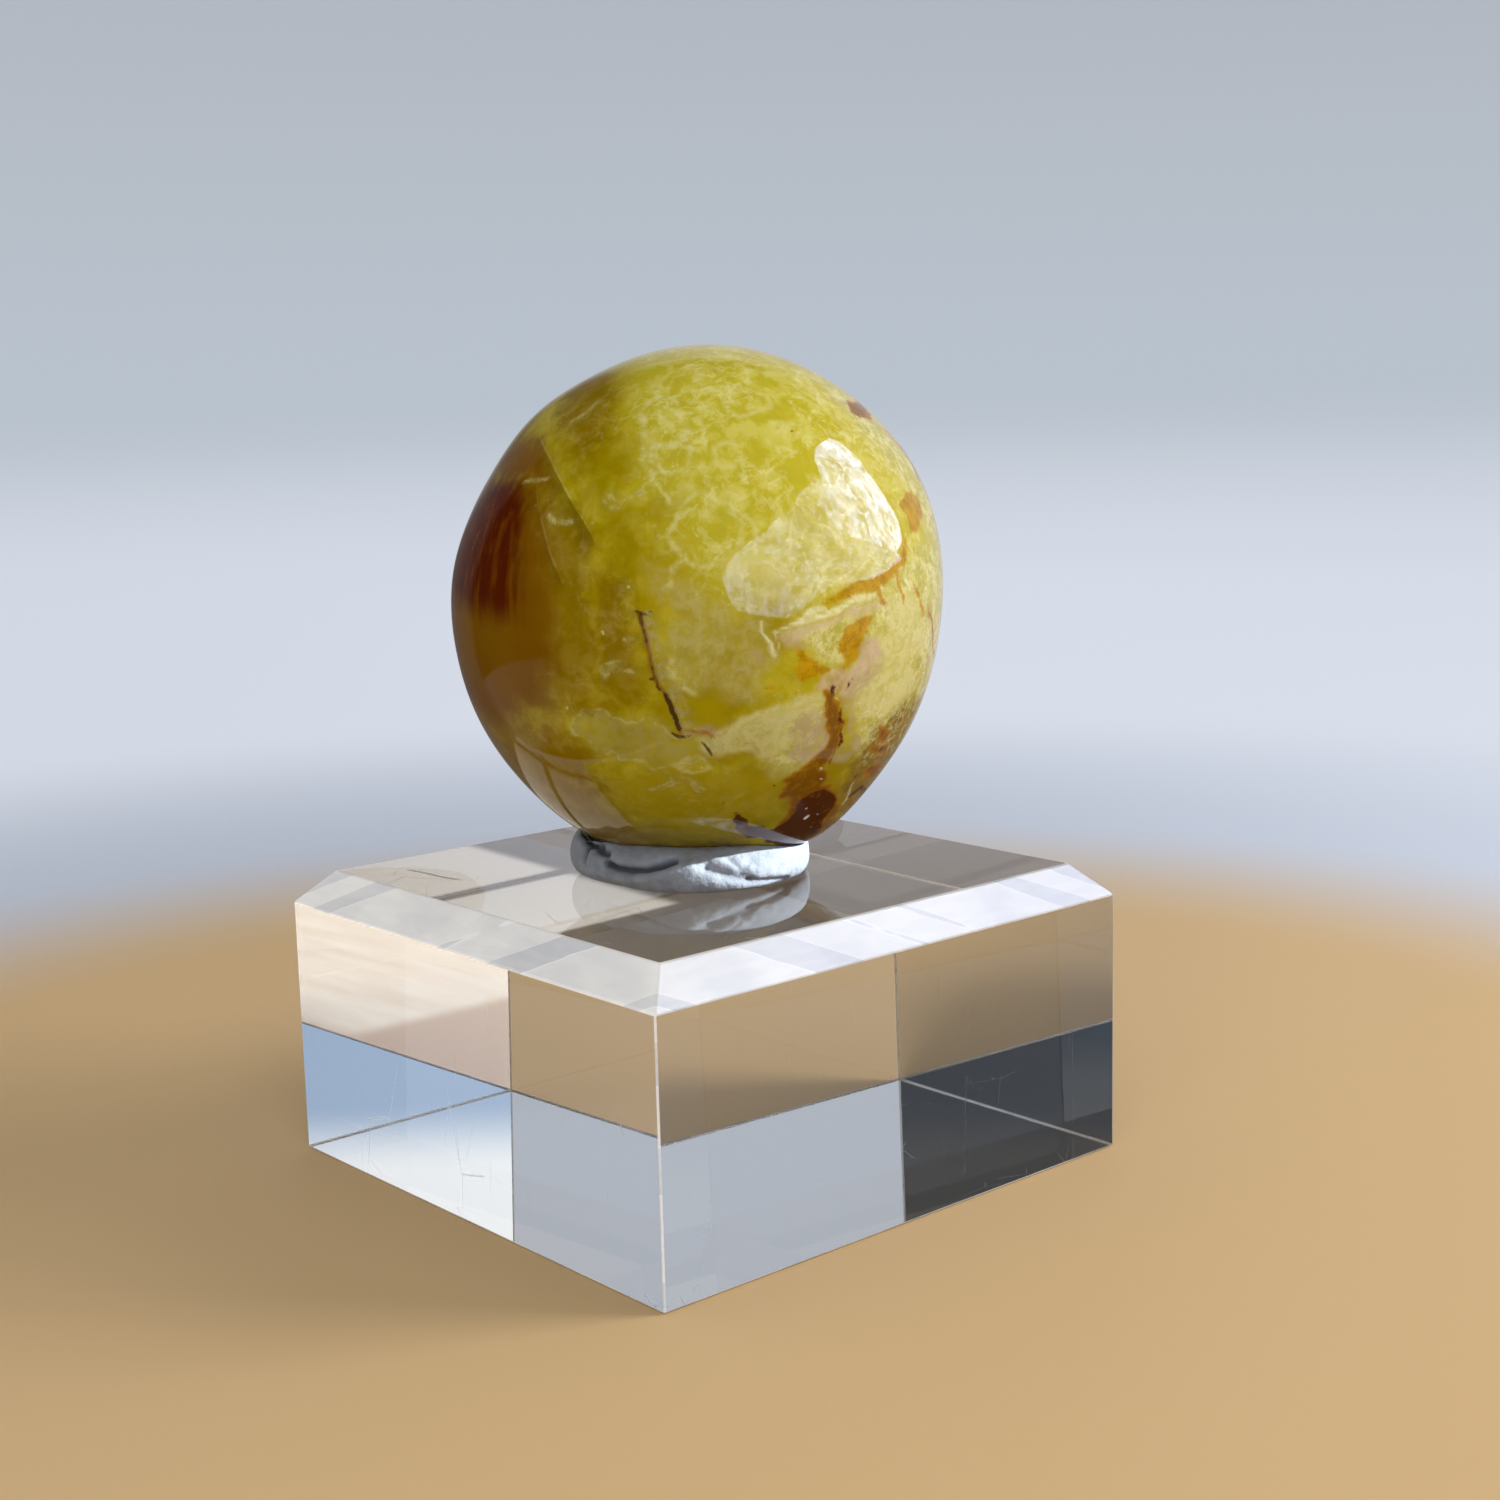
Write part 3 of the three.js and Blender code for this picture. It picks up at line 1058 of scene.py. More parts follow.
# %% Marks seen in the photograph
MARKS = {
    "crown": [
        patch(
            "pale green crown",
            (604, 340), (634, 385), (640, 425), (650, 470), (672, 505), (690, 560), (720, 600),
            (850, 600), (960, 590), (950, 430), (880, 340), (780, 300), (690, 310),
        ),
    ],
    "cream": [
        patch(
            "right side",
            (840, 596), (900, 560), (948, 520), (960, 640), (918, 742), (862, 762), (850, 700),
            (866, 640),
        ),
        patch(
            "cell between the rust",
            (784, 634), (814, 622), (862, 606), (850, 632), (842, 660), (828, 668), (808, 650),
        ),
        patch(
            "cell under the vein",
            (772, 712), (800, 704), (832, 700), (832, 750), (800, 768), (772, 776), (768, 744),
        ),
        patch(
            "rim at the upper right",
            (800, 366), (850, 420), (900, 480), (930, 540), (960, 520), (900, 400), (830, 340),
        ),
    ],
    "olive": [
        patch(
            "left olive",
            (540, 440), (572, 505), (598, 552), (592, 600), (606, 660), (580, 715), (524, 712),
            (508, 560),
        ),
        patch(
            "olive left of the crack",
            (596, 560), (628, 580), (640, 640), (640, 700), (610, 700), (590, 640),
        ),
        patch("upper left", (548, 420), (600, 372), (622, 384), (610, 440), (580, 470)),
    ],
    "ochre": [
        patch(
            "lower left",
            (476, 690), (560, 716), (592, 752), (612, 800), (650, 842), (700, 858), (600, 880),
            (500, 830), (450, 730),
        ),
        patch("patch at mid left", (558, 650), (572, 662), (590, 690), (602, 702), (574, 704), (560, 686)),
    ],
    "yellow": [
        patch(
            "lower yellow",
            (614, 772), (680, 768), (740, 772), (782, 776), (776, 806), (740, 820), (690, 834),
            (640, 820),
        ),
        patch("green beside the crack's foot", (699, 702), (719, 704), (722, 716), (716, 727), (702, 722)),
        patch("green above the crack", (640, 560), (690, 560), (722, 596), (700, 614), (640, 606)),
    ],
    "shade": [
        patch(
            "lower right limb",
            (930, 690), (900, 704), (872, 732), (854, 762), (844, 790), (836, 830), (880, 830),
            (930, 780),
        ),
        patch("under the yellow", (600, 842), (660, 846), (740, 838), (760, 870), (600, 880)),
    ],
    "brown_flank": [
        patch(
            "flank",
            (528, 470), (480, 470), (440, 540), (436, 640), (460, 710), (500, 724), (540, 708),
            (556, 660), (552, 600), (548, 540), (536, 500),
        ),
        patch(
            "over the flank",
            (540, 436), (524, 436), (496, 466), (500, 484), (530, 486), (556, 484), (550, 462),
        ),
    ],
    "amber": [
        patch(
            "red amber",
            (516, 476), (498, 480), (470, 490), (444, 530), (430, 570), (432, 592), (458, 602),
            (480, 612), (500, 616), (516, 610), (520, 590), (517, 560), (521, 530), (526, 503),
            (520, 486),
        ),
    ],
    "milk": [
        patch(
            "milky band",
            (566, 722), (584, 709), (600, 711), (614, 726), (632, 724), (650, 716), (664, 728),
            (682, 738), (700, 734), (716, 731), (743, 721), (775, 708), (806, 697), (800, 716),
            (760, 740), (722, 752), (696, 759), (669, 764), (646, 764), (629, 756), (612, 752),
            (600, 755), (590, 745), (577, 737),
        ),
        patch(
            "under the crack",
            (600, 722), (650, 716), (684, 740), (720, 744), (700, 760), (668, 768), (620, 760),
        ),
        thread("wisp at mid left", (604, 668, 0.35), (618, 665, 0.5), (630, 674, 0.3)),
        thread("wisp high in the middle", (602, 499, 0.15), (622, 502, 0.3), (640, 494, 0.15)),
        thread("wisp under the crown", (596, 404, 0.3), (574, 420, 0.25), (560, 436, 0.15)),
        spot("pale grain beside the crack", 631, 638, 0.24),
        thread(
            "wisps over the yellow",
            (652, 790, 0.1), (664, 784, 0.25), (690, 780, 0.1), (704, 790, 0.2),
        ),
        thread("low wisp", (690, 815, 0.1), (712, 822, 0.2), (730, 808, 0.1)),
    ],
    "band": [
        patch(
            "diagonal band",
            (700, 742), (716, 729), (743, 719), (775, 706), (806, 695), (826, 694), (822, 704),
            (806, 712), (790, 722), (786, 744), (776, 756), (748, 752), (722, 756), (706, 754),
        ),
        patch(
            "curds at the right",
            (850, 660), (880, 636), (908, 650), (914, 690), (890, 716), (860, 706), (846, 690),
        ),
        patch(
            "curds under the vein",
            (884, 600), (906, 590), (924, 620), (920, 656), (900, 650), (888, 628),
        ),
    ],
    "film": [
        patch(
            "pale lump by the crack",
            (664, 632), (690, 604), (724, 612), (736, 640), (724, 668), (700, 692), (682, 690),
            (672, 676), (666, 660),
        ),
        patch(
            "film right of the lump",
            (724, 612), (770, 622), (776, 660), (760, 700), (724, 700), (712, 684), (732, 660),
        ),
        patch("film under the curtain", (640, 560), (700, 596), (760, 624), (700, 620), (660, 600)),
    ],
    "pink": [
        patch(
            "lilac film by the right rust",
            (866, 634), (880, 646), (884, 668), (866, 690), (850, 706), (842, 700), (850, 672),
            (858, 650),
        ),
        thread("lilac smudge", (788, 643, 0.25), (796, 646, 0.35)),
        thread(
            "lilac speckle on the right rim",
            (868, 416, 0.3), (896, 443, 0.5), (912, 464, 0.5), (923, 486, 0.5), (932, 508, 0.4),
        ),
        thread("pink on the right limb", (928, 606, 0.25), (932, 634, 0.35), (928, 664, 0.2)),
        thread("cloud at the crack's foot", (690, 734, 0.3), (703, 730, 0.5), (712, 733, 0.3)),
        thread("lilac mottle in the film", (752, 652, 0.3), (758, 660, 0.3)),
        thread("on the upper rim", (832, 398, 0.3), (856, 408, 0.5), (874, 420, 0.3)),
        patch(
            "tan speckled cell",
            (800, 716), (820, 708), (832, 722), (828, 752), (806, 764), (788, 756), (790, 732),
        ),
        thread(
            "lilac beside the channel",
            (846, 700, 0.3), (852, 716, 0.3), (850, 730, 0.2), (858, 748, 0.2),
        ),
    ],
    "rose": [
        patch("wedge", (826, 672), (840, 668), (853, 666), (844, 684), (836, 694), (817, 692), (820, 682)),
        patch(
            "right of the wedge",
            (853, 666), (862, 650), (874, 640), (880, 650), (868, 668), (854, 686), (848, 698),
            (841, 694),
        ),
        patch(
            "under the cream line",
            (776, 636), (797, 631), (814, 625), (838, 613), (859, 604), (880, 598), (886, 606),
            (866, 612), (848, 618), (820, 630), (796, 644), (784, 646),
        ),
    ],
    "orange": [
        patch(
            "left one",
            (793, 650), (804, 654), (810, 659), (816, 666), (828, 669), (826, 675), (817, 676),
            (807, 680), (797, 675), (795, 667),
        ),
        patch(
            "right one",
            (862, 614), (871, 617), (869, 630), (860, 646), (851, 658), (841, 668), (838, 652),
            (845, 633), (855, 621),
        ),
        patch(
            "on the right rim",
            (904, 494), (912, 491), (921, 504), (923, 515), (918, 531), (912, 534), (908, 516),
            (899, 506),
        ),
        thread(
            "vein",
            (826, 600, 0.2), (850, 591, 0.36), (872, 585, 0.42), (890, 574, 0.46), (903, 560, 0.32),
            (905, 540, 0.24),
        ),
        thread("first branch", (877, 586, 0.3), (881, 604, 0.22)),
        thread("second branch", (896, 574, 0.22), (902, 602, 0.16)),
        thread("third branch", (914, 585, 0.24), (919, 598, 0.24), (925, 614, 0.18)),
        thread("low right olive", (864, 776, 0.24), (874, 772, 0.3), (881, 768, 0.24)),
        thread("faint spot", (768, 688, 0.16), (774, 690, 0.16)),
    ],
    "rust": [
        patch("knot of the channel", (826, 691), (837, 690), (838, 704), (832, 709), (825, 706)),
        thread(
            "channel",
            (830, 700, 0.45), (834, 714, 0.66), (836, 728, 0.7), (832, 742, 0.72), (826, 756, 0.8),
            (812, 770, 0.9),
        ),
        patch("upper spot at the right", (879, 726), (886, 724), (889, 733), (885, 742), (879, 740)),
        patch(
            "lower spot at the right",
            (872, 742), (880, 745), (887, 746), (886, 755), (877, 757), (871, 750),
        ),
        thread("stripe on the right limb", (905, 716, 0.2), (900, 730, 0.3), (893, 742, 0.2)),
        patch("blotch low on the right limb", (862, 770), (872, 764), (884, 762), (880, 772), (868, 780)),
        patch(
            "red half of the foot",
            (782, 778), (798, 770), (817, 766), (828, 770), (824, 782), (836, 790), (840, 806),
            (834, 824), (816, 838), (800, 846), (776, 842), (780, 822), (790, 806), (782, 796),
        ),
        patch("on the upper rim", (843, 399), (862, 404), (872, 415), (868, 420), (852, 414)),
        thread(
            "along the upper right rim",
            (900, 446, 0.16), (912, 464, 0.24), (924, 486, 0.24), (932, 506, 0.2),
        ),
        thread("low right rim", (846, 806, 0.26), (862, 796, 0.3), (880, 778, 0.2)),
        spot("dot in the film", 757, 668, 0.1),
        thread("stain past the crack's foot", (691, 730, 0.1), (703, 733, 0.2), (712, 738, 0.14)),
        thread("right limb", (929, 608, 0.12), (932, 634, 0.16), (932, 676, 0.1)),
    ],
    "brown": [
        thread("head of the channel", (835, 689, 0.3), (836, 693, 0.2)),
        thread("left fork", (849, 690, 0.12), (852, 681, 0.14)),
        thread(
            "dark edge of the channel",
            (841, 708, 0.1), (840, 722, 0.15), (840, 736, 0.17), (836, 750, 0.15), (832, 762, 0.1),
        ),
        patch(
            "dark foot",
            (820, 789), (832, 790), (835, 800), (828, 814), (822, 826), (808, 840), (796, 846),
            (776, 843), (759, 839), (740, 835), (735, 825), (733, 813), (745, 819), (758, 827),
            (774, 829), (788, 822), (792, 812), (802, 800),
            (812, 793),
        ),
        thread("spot at the right", (880, 751, 0.2), (883, 748, 0.16)),
        thread("low right spot", (848, 796, 0.2), (858, 790, 0.28), (864, 792, 0.2)),
        spot("dot at the right", 856, 775, 0.14),
        spot("dot left of the foot", 772, 785, 0.1),
        spot("dot in the yellow", 721, 803, 0.1),
        spot("dot on the rust", 869, 631, 0.12),
        spot("first dot in the crown", 778, 427, 0.1),
        spot("second dot in the crown", 794, 431, 0.1),
        spot("third dot in the crown", 839, 428, 0.1),
        spot("dot near the top", 712, 371, 0.08),
        thread("dark rim speckle", (886, 430, 0.14), (908, 458, 0.16), (920, 482, 0.18)),
    ],
    "crack": [
        thread("head", (635, 611, 0.08), (641, 613, 0.16), (647, 614, 0.12), (651, 612, 0.06)),
        thread("knot", (650, 680, 0.1), (655, 677, 0.12), (657, 684, 0.1)),
        thread("grains under the knot", (657, 687, 0.12), (660, 690, 0.12)),
        thread("foot", (672, 733, 0.1), (679, 737, 0.16), (686, 737, 0.14), (692, 735, 0.06)),
        thread("fleck past the foot", (702, 742, 0.08), (708, 749, 0.13), (712, 756, 0.08)),
    ],
    "web": [
        ring("upper left cell", 664, 422, 25, 25, 0.2),
        thread(
            "square cell",
            (651, 449, 0.2), (672, 445, 0.2), (689, 448, 0.18), (690, 468, 0.16), (664, 474, 0.16),
            (652, 462, 0.18), (651, 449, 0.2),
        ),
        ring("oval cell", 744, 403, 23, 12, 0.2),
        ring("soft cell", 706, 530, 34, 36, 0.2),
        ring("cell under the oval", 727, 453, 14, 13, 0.16),
        thread("tail of the soft cell", (690, 560, 0.2), (672, 572, 0.2), (664, 590, 0.16)),
        thread("line beside the soft cell", (738, 512, 0.16), (752, 524, 0.2), (760, 540, 0.16)),
        thread("edge of the crown", (640, 440, 0.1), (650, 480, 0.2), (668, 500, 0.16)),
        thread(
            "upper edge of the band",
            (716, 731, 0.15), (743, 721, 0.2), (775, 708, 0.18), (806, 697, 0.14),
        ),
        thread("edge of the lump", (667, 656, 0.12), (672, 677, 0.18), (683, 691, 0.18), (698, 694, 0.12)),
        thread("left edge of the olive", (522, 485, 0.12), (536, 481, 0.14), (550, 478, 0.12)),
        thread("edge between the cracks", (547, 514, 0.12), (558, 521, 0.14), (574, 523, 0.12)),
        ring("small ring in the green", 691, 765, 15, 8, 0.14),
        ring("ring at the top", 712, 371, 6, 5, 0.12),
        ring("ring in the oval", 747, 405, 4, 4, 0.12),
        ring("first spot ring", 778, 427, 6, 6, 0.12),
        ring("second spot ring", 795, 431, 7, 8, 0.12),
        ring("third spot ring", 838, 428, 8, 9, 0.14),
        ring("ring by the pane", 786, 451, 6, 5, 0.12),
    ],
    "lace": [
        thread(
            "cream line",
            (776, 631, 0.12), (797, 626, 0.18), (814, 619, 0.24), (838, 607, 0.24), (859, 598, 0.18),
            (880, 590, 0.14),
        ),
        thread("cream line's fork", (797, 624, 0.2), (808, 612, 0.26), (822, 606, 0.2)),
        thread(
            "fork mark",
            (760, 626, 0.1), (766, 642, 0.15), (771, 655, 0.1), (776, 647, 0.06), (773, 633, 0.06),
        ),
        thread("line over the knot", (829, 696, 0.12), (838, 697.5, 0.12)),
        thread("scratch", (857, 780, 0.1), (849, 792, 0.13), (842, 804, 0.1)),
        thread("streak by the vein", (905, 571, 0.18), (908, 588, 0.15)),
    ],
    # small pits in the polish, each with a painted glint
    "pit_and_glint": [
        thread("white pit", (805, 818.5, 0.17), (808, 816, 0.17)),
        spot("pit above it", 806, 808, 0.1),
        spot("pit at the top of the foot", 821, 768, 0.13),
        spot("second pit there", 821, 778.5, 0.11),
        spot("pit at the right", 817, 814, 0.09),
        spot("low pit", 811, 827, 0.1),
    ],
}

# %% [markdown]
# The sides that the photograph doesn't show are made up in the same manner: the amber wraps round
# the left, the brown vein climbs the right and comes down the back, and films lie between.

# %% Marks on the other sides
HIDDEN_MARKS = {
    "crown": [
        patch(
            "over the back",
            (20, 0), (90, 0), (110, -20), (90, -50), (40, -62), (10, -30),
            by=by_angle,
        ),
    ],
    "brown_flank": [
        patch(
            "round the left",
            (150, 6), (215, 6), (212, -30), (190, -58), (156, -40),
            by=by_angle,
        ),
    ],
    "amber": [
        patch(
            "amber round the left",
            (160, 8), (190, 8), (198, -16), (190, -38), (172, -44), (158, -22),
            by=by_angle,
        ),
    ],
    "ochre": [
        patch(
            "low on the back",
            (215, 0), (265, 0), (280, -30), (250, -62), (220, -40),
            by=by_angle,
        ),
    ],
    "milk": [
        patch(
            "film across the back",
            (60, -50), (100, -40), (150, -58), (190, -70), (200, -60), (160, -46), (110, -28),
            (70, -36),
            by=by_angle,
        ),
        patch("film low at the back", (300, -50), (330, -40), (350, -52), (320, -64), by=by_angle),
    ],
    "film": [patch("lump at the back", (120, -70), (160, -62), (200, -78), (150, -84), by=by_angle)],
    "cream": [patch("round the right", (340, 4), (20, 0), (10, -35), (345, -45), (325, -25), by=by_angle)],
    "shade": [
        patch(
            "round the lower right",
            (300, 4), (330, 4), (336, -20), (310, -34), (292, -16),
            by=by_angle,
        ),
    ],
    "pink": [
        thread(
            "beside the back vein",
            (36, -22, 0.5), (30, -42, 0.7), (12, -58, 0.5), (340, -66, 0.4),
            by=by_angle,
        ),
        patch("tan cell at the back", (240, -66), (280, -60), (300, -74), (260, -80), by=by_angle),
    ],
    "rose": [patch("wedge at the back", (350, -46), (4, -50), (8, -60), (352, -58), by=by_angle)],
    "orange": [
        patch("pool on the back vein", (18, -50), (30, -56), (20, -66), (2, -62), (6, -52), by=by_angle),
        thread("vein at the right", (318, -24, 0.3), (330, -44, 0.5), (336, -62, 0.35), by=by_angle),
    ],
    "rust": [
        thread(
            "vein down the back",
            (44, -6, 0.3), (40, -22, 0.5), (28, -38, 0.35), (22, -52, 0.6), (350, -64, 0.3),
            (330, -70, 0.5),
            by=by_angle,
        ),
        thread("side vein", (22, -52, 0.3), (60, -64, 0.3), (100, -66, 0.16), by=by_angle),
        thread("vein at the lower right", (312, -8, 0.4), (318, -24, 0.3), (330, -44, 0.3), by=by_angle),
    ],
    "brown": [
        patch("back of the foot", (292, 2), (308, 0), (312, -16), (300, -30), (284, -20), by=by_angle),
        thread("heart of the vein", (40, -20, 0.2), (33, -32, 0.3), (26, -46, 0.2), by=by_angle),
        thread("thread low at the back", (300, -28, 0.2), (290, -46, 0.28), (262, -58, 0.14), by=by_angle),
    ],
    "crack": [
        thread(
            "short crack at the back",
            (130, -62, 0.1), (140, -68, 0.12), (158, -71, 0.06),
            by=by_angle,
        ),
    ],
    "band": [
        patch(
            "band at the back",
            (300, -20), (330, -10), (344, -30), (330, -52), (312, -40),
            by=by_angle,
        ),
    ],
    "web": [thread("line at the back", (200, -46, 0.16), (214, -58, 0.2), (236, -64, 0.14), by=by_angle)],
    "lace": [
        thread(
            "cream line at the back",
            (70, -20, 0.2), (84, -34, 0.34), (104, -44, 0.2),
            by=by_angle,
        ),
    ],
    "pit_and_glint": [thread("pit at the back", (10, -60, 0.14), (11, -61, 0.14), by=by_angle)],
}

# %% [markdown]
# A flat map is laid on the stone round each mark's middle, true to distance from there. On it the
# distance to a patch or a thread is the plain one between a point and line pieces. No growth in a
# stone has a straight edge, so each place is first moved by a few small waves.

# %% Distances from the marks
FAR = 7.0
WAVES = [(3.4, 0.30), (1.7, 0.17), (0.9, 0.09)]
WAVES_EACH = 4
STEADY = ("crack", "pit_and_glint")


def waved(directions):
    """Directions moved a little by waves: each has a length and a height in millimetres."""
    chance = np.random.default_rng(7)
    rows = directions * STONE_RADIUS
    moved = rows.copy()
    for length, height in WAVES:
        for _ in range(WAVES_EACH):
            heading, other = chance.normal(size=(2, 3))
            heading /= np.linalg.norm(heading)
            sideways = np.cross(heading, other)
            sideways /= np.linalg.norm(sideways)
            phase = rows @ heading * (2 * math.pi / length) + chance.uniform(0, 2 * math.pi)
            moved += np.sin(phase)[:, None] * sideways * (height / math.sqrt(WAVES_EACH))
    return moved / np.linalg.norm(moved, axis=1)[:, None]


def flat_map(directions, middle):
    """Directions on a flat map round one of them: millimetres right and up, seen from outside."""
    right = np.cross((0, 0, 1), middle)
    right /= np.linalg.norm(right)
    up = np.cross(middle, right)
    angle = np.arccos(np.clip(directions @ middle, -1, 1))
    stretch = STONE_RADIUS * angle / np.maximum(np.sin(angle), 1e-6)
    return np.column_stack((directions @ right * stretch, directions @ up * stretch))


def from_pieces(points, starts, ends):
    """How far each point lies from each line piece, and how far along it, from 0 to 1."""
    span = ends - starts
    offset = points[:, None] - starts
    along = (offset * span).sum(-1) / np.maximum((span**2).sum(-1), 1e-9)
    along = np.clip(along, 0, 1)
    return np.linalg.norm(offset - along[..., None] * span, axis=-1), along


def inside(points, starts, ends):
    """Whether each point lies inside a closed outline."""
    x, y = points[:, :1], points[:, 1:]
    crosses = (starts[:, 1] > y) != (ends[:, 1] > y)
    rise = np.where(starts[:, 1] == ends[:, 1], 1e-9, ends[:, 1] - starts[:, 1])
    at = starts[:, 0] + (y - starts[:, 1]) / rise * (ends[:, 0] - starts[:, 0])
    return (crosses & (x < at)).sum(axis=1) % 2 == 1


def middle_of(corners):
    """The direction at the middle of some others."""
    middle = np.mean(corners, axis=0)
    return middle / np.linalg.norm(middle)


def distance_from(mark, directions):
    """How far each direction's place on the stone lies from a mark, less than 0 inside it."""
    middle = middle_of(mark["points"])
    corners = flat_map(np.array(mark["points"]), middle)
    reach = np.linalg.norm(corners, axis=1).max() + FAR
    near = np.flatnonzero(directions @ middle > math.cos(min(reach / STONE_RADIUS, 2.2)))
    points = flat_map(directions[near], middle)
    distances = np.full(len(directions), FAR)
    if mark["closed"]:
        ends = np.roll(corners, -1, axis=0)
        gap, _ = from_pieces(points, corners, ends)
        gap = gap.min(axis=1) * np.where(inside(points, corners, ends), -1, 1)
    else:
        widths = np.array(mark["widths"])
        gap, along = from_pieces(points, corners[:-1], corners[1:])
        gap = (gap - widths[:-1] - along * np.diff(widths)).min(axis=1)
    distances[near] = np.minimum(gap, FAR)
    return distances


directions = places(stone) - STONE_MIDDLE
directions /= np.linalg.norm(directions, axis=1)[:, None]
wavy_directions = waved(directions)
for kind, marks in MARKS.items():
    marks = marks + HIDDEN_MARKS.get(kind, [])
    looked_up = directions if kind in STEADY else wavy_directions
    distances = np.min([distance_from(mark, looked_up) for mark in marks], axis=0)
    keep(stone, kind, distances)
    print(kind, "covers", round(100 * float((distances < 0).mean()), 1), "% of the stone")

# %% [markdown]
# Three cracks cross the front. Two have healed, at the left: light stops at each, so the stone is
# darker on one side of it, and it shows as a thin pale line. The third, in the middle, is open
# and stained brown. For these the finish needs to know the side, so the distance is kept with a
# sign, and how far along the crack the place lies is kept beside it.

# %% Cracks
CRACKS = {
    "long": [(537, 434), (549, 459), (560, 481.5), (571, 502), (584, 523), (592, 537), (597, 553)],
    "short": [(535.5, 484), (537, 504), (543, 531), (550, 557), (560, 579), (570, 600)],
    "open": [
        (639, 612), (640.6, 621), (643, 629), (645, 636), (646.6, 645), (649, 654), (651, 664),
        (654, 676), (659, 686), (665, 694), (669, 702), (675, 717), (678.5, 727), (681, 735),
    ],
}


def along_line(points, directions):
    """Signed distance from a line, less than 0 at its left, and how far along it, from 0 to 1."""
    corners = np.array([by_pixel(*point) for point in points])
    middle = middle_of(corners)
    corners = flat_map(corners, middle)
    points = flat_map(directions, middle)
    starts, ends = corners[:-1], corners[1:]
    gap, along = from_pieces(points, starts, ends)
    nearest = gap.argmin(axis=1)
    rows = np.arange(len(points))
    span = (ends - starts)[nearest]
    offset = points - starts[nearest]
    side = np.sign(span[:, 1] * offset[:, 0] - span[:, 0] * offset[:, 1])
    across = np.where(directions @ middle < 0.5, FAR, -side * gap[rows, nearest])
    return across, (nearest + along[rows, nearest]) / len(starts)


for name, points in CRACKS.items():
    across, along = along_line(points, directions)
    keep(stone, name + "_across", across)
    keep(stone, name + "_along", along)

# %% [markdown]
# ## The stone's finish
#
# Opal is glass-like and a little milky: light goes in, spreads and comes out near by. Subsurface
# scattering does that, red furthest. On it the colours are laid as a painter would, from broad to
# fine. A noise added to the distance before each edge makes it ragged, and a wide or narrow step
# makes it soft or crisp. The curdled look comes from the edges of cells, and from lines where a
# noise crosses one level: both close into loops, as the rims of the little cells in opal do. The
# two numbers of a fade are levels of a noise, which runs from 0 to 1, or millimetres from a mark.

# %% Finish of the stone
OPAL_IOR = 1.45
POLISH = 0.33
BODY_DARK = (0.30, 0.21, 0.0)
BODY_LIGHT = (0.44, 0.34, 0.006)
CURD = (0.66, 0.58, 0.20)
AMBER_BRIGHT = (0.14, 0.035, 0.0)
CURD_WHITE = (0.74, 0.68, 0.42)
RUST_BRIGHT = (0.34, 0.14, 0.002)
ORANGE_DARK = (0.34, 0.16, 0.001)
SPECKLE = (0.20, 0.11, 0.006)
HOLLOW = (0.36, 0.29, 0.03)
TINTS = {
    "crown": (0.48, 0.39, 0.022),
    "cream": (0.50, 0.43, 0.09),
    "olive": (0.235, 0.14, 0.0),
    "ochre": (0.25, 0.14, 0.0),
    "yellow": (0.38, 0.27, 0.001),
    "shade": (0.22, 0.13, 0.025),
    "brown_flank": (0.17, 0.065, 0.0),
    "amber": (0.08, 0.009, 0.0),
    "milk": (0.36, 0.29, 0.07),
    "band": (0.58, 0.50, 0.19),
    "film": (0.45, 0.37, 0.11),
    "pink": (0.42, 0.29, 0.16),
    "rose": (0.56, 0.39, 0.24),
    "orange": (0.48, 0.26, 0.003),
    "rust": (0.19, 0.065, 0.001),
    "brown": (0.07, 0.011, 0.001),
    "crack": (0.05, 0.016, 0.003),
    "web": (0.62, 0.55, 0.20),
    "lace": (0.74, 0.66, 0.36),
    # the pits' near-white is a painted glint
    "pit_and_glint": (0.80, 0.76, 0.68),
}
STAIN = (0.24, 0.10, 0.004)
VEIL = (0.40, 0.34, 0.17)
CRACK_BROWN = (0.12, 0.05, 0.006)
ZONE_EDGES = {
    "ochre": (2.4, 1.2),
    "yellow": (1.0, 0.8),
    "olive": (1.6, 0.8),
    "crown": (2.2, 1.6),
    "cream": (1.0, 1.0),
}
RIM_CELLS = [(4.2, 0.045, 0.55), (1.7, 0.07, 0.35)]
PIN_CELL = 1.4
HEALED_CRACKS = [("long", 1.9, 0.66), ("short", 1.3, 0.45)]
CRACK_SHADE = (0.42, 0.38, 0.2)
GAP_FLOOR = -0.06
CRACK_WIDTHS = [
    {"name": "under the head", "from": 0.0, "to": 0.13, "half": 0.17},
    {"name": "upper part", "from": 0.1, "to": 0.3, "half": 0.11},
    {"name": "thin middle", "from": 0.3, "to": 0.58, "half": 0.04},
    {"name": "lower part", "from": 0.68, "to": 0.97, "half": 0.16},
]

opal = Finish(
    "opal_finish",
    IOR=OPAL_IOR,
    Specular_IOR_Level=POLISH,
    Subsurface_Weight=0.35,
    Subsurface_Radius=(1.0, 0.6, 0.15),
    Subsurface_Scale=1.6 * MM,
)
here = opal.place()
drift = opal.shifted(here, 0.9, 2.6, detail=3)
broad = opal.noise(drift, 6.5, detail=4, roughness=0.6)
middling = opal.noise(drift, 1.9, detail=4, roughness=0.6)
small = opal.noise(drift, 1.05, detail=5, roughness=0.72)
fine = opal.noise(here, 0.5, detail=4, roughness=0.65)
streaks = opal.noise(opal.stretched(here, (1, 1, 0.1)), 0.9, detail=4, roughness=0.6)


def marked(kind, soft, ragged, noise):
    """1 inside a kind of mark and 0 outside: soft and ragged are in millimetres."""
    return opal.fade(opal.stored(kind) + (noise - 0.5) * (4 * ragged), soft, -soft)


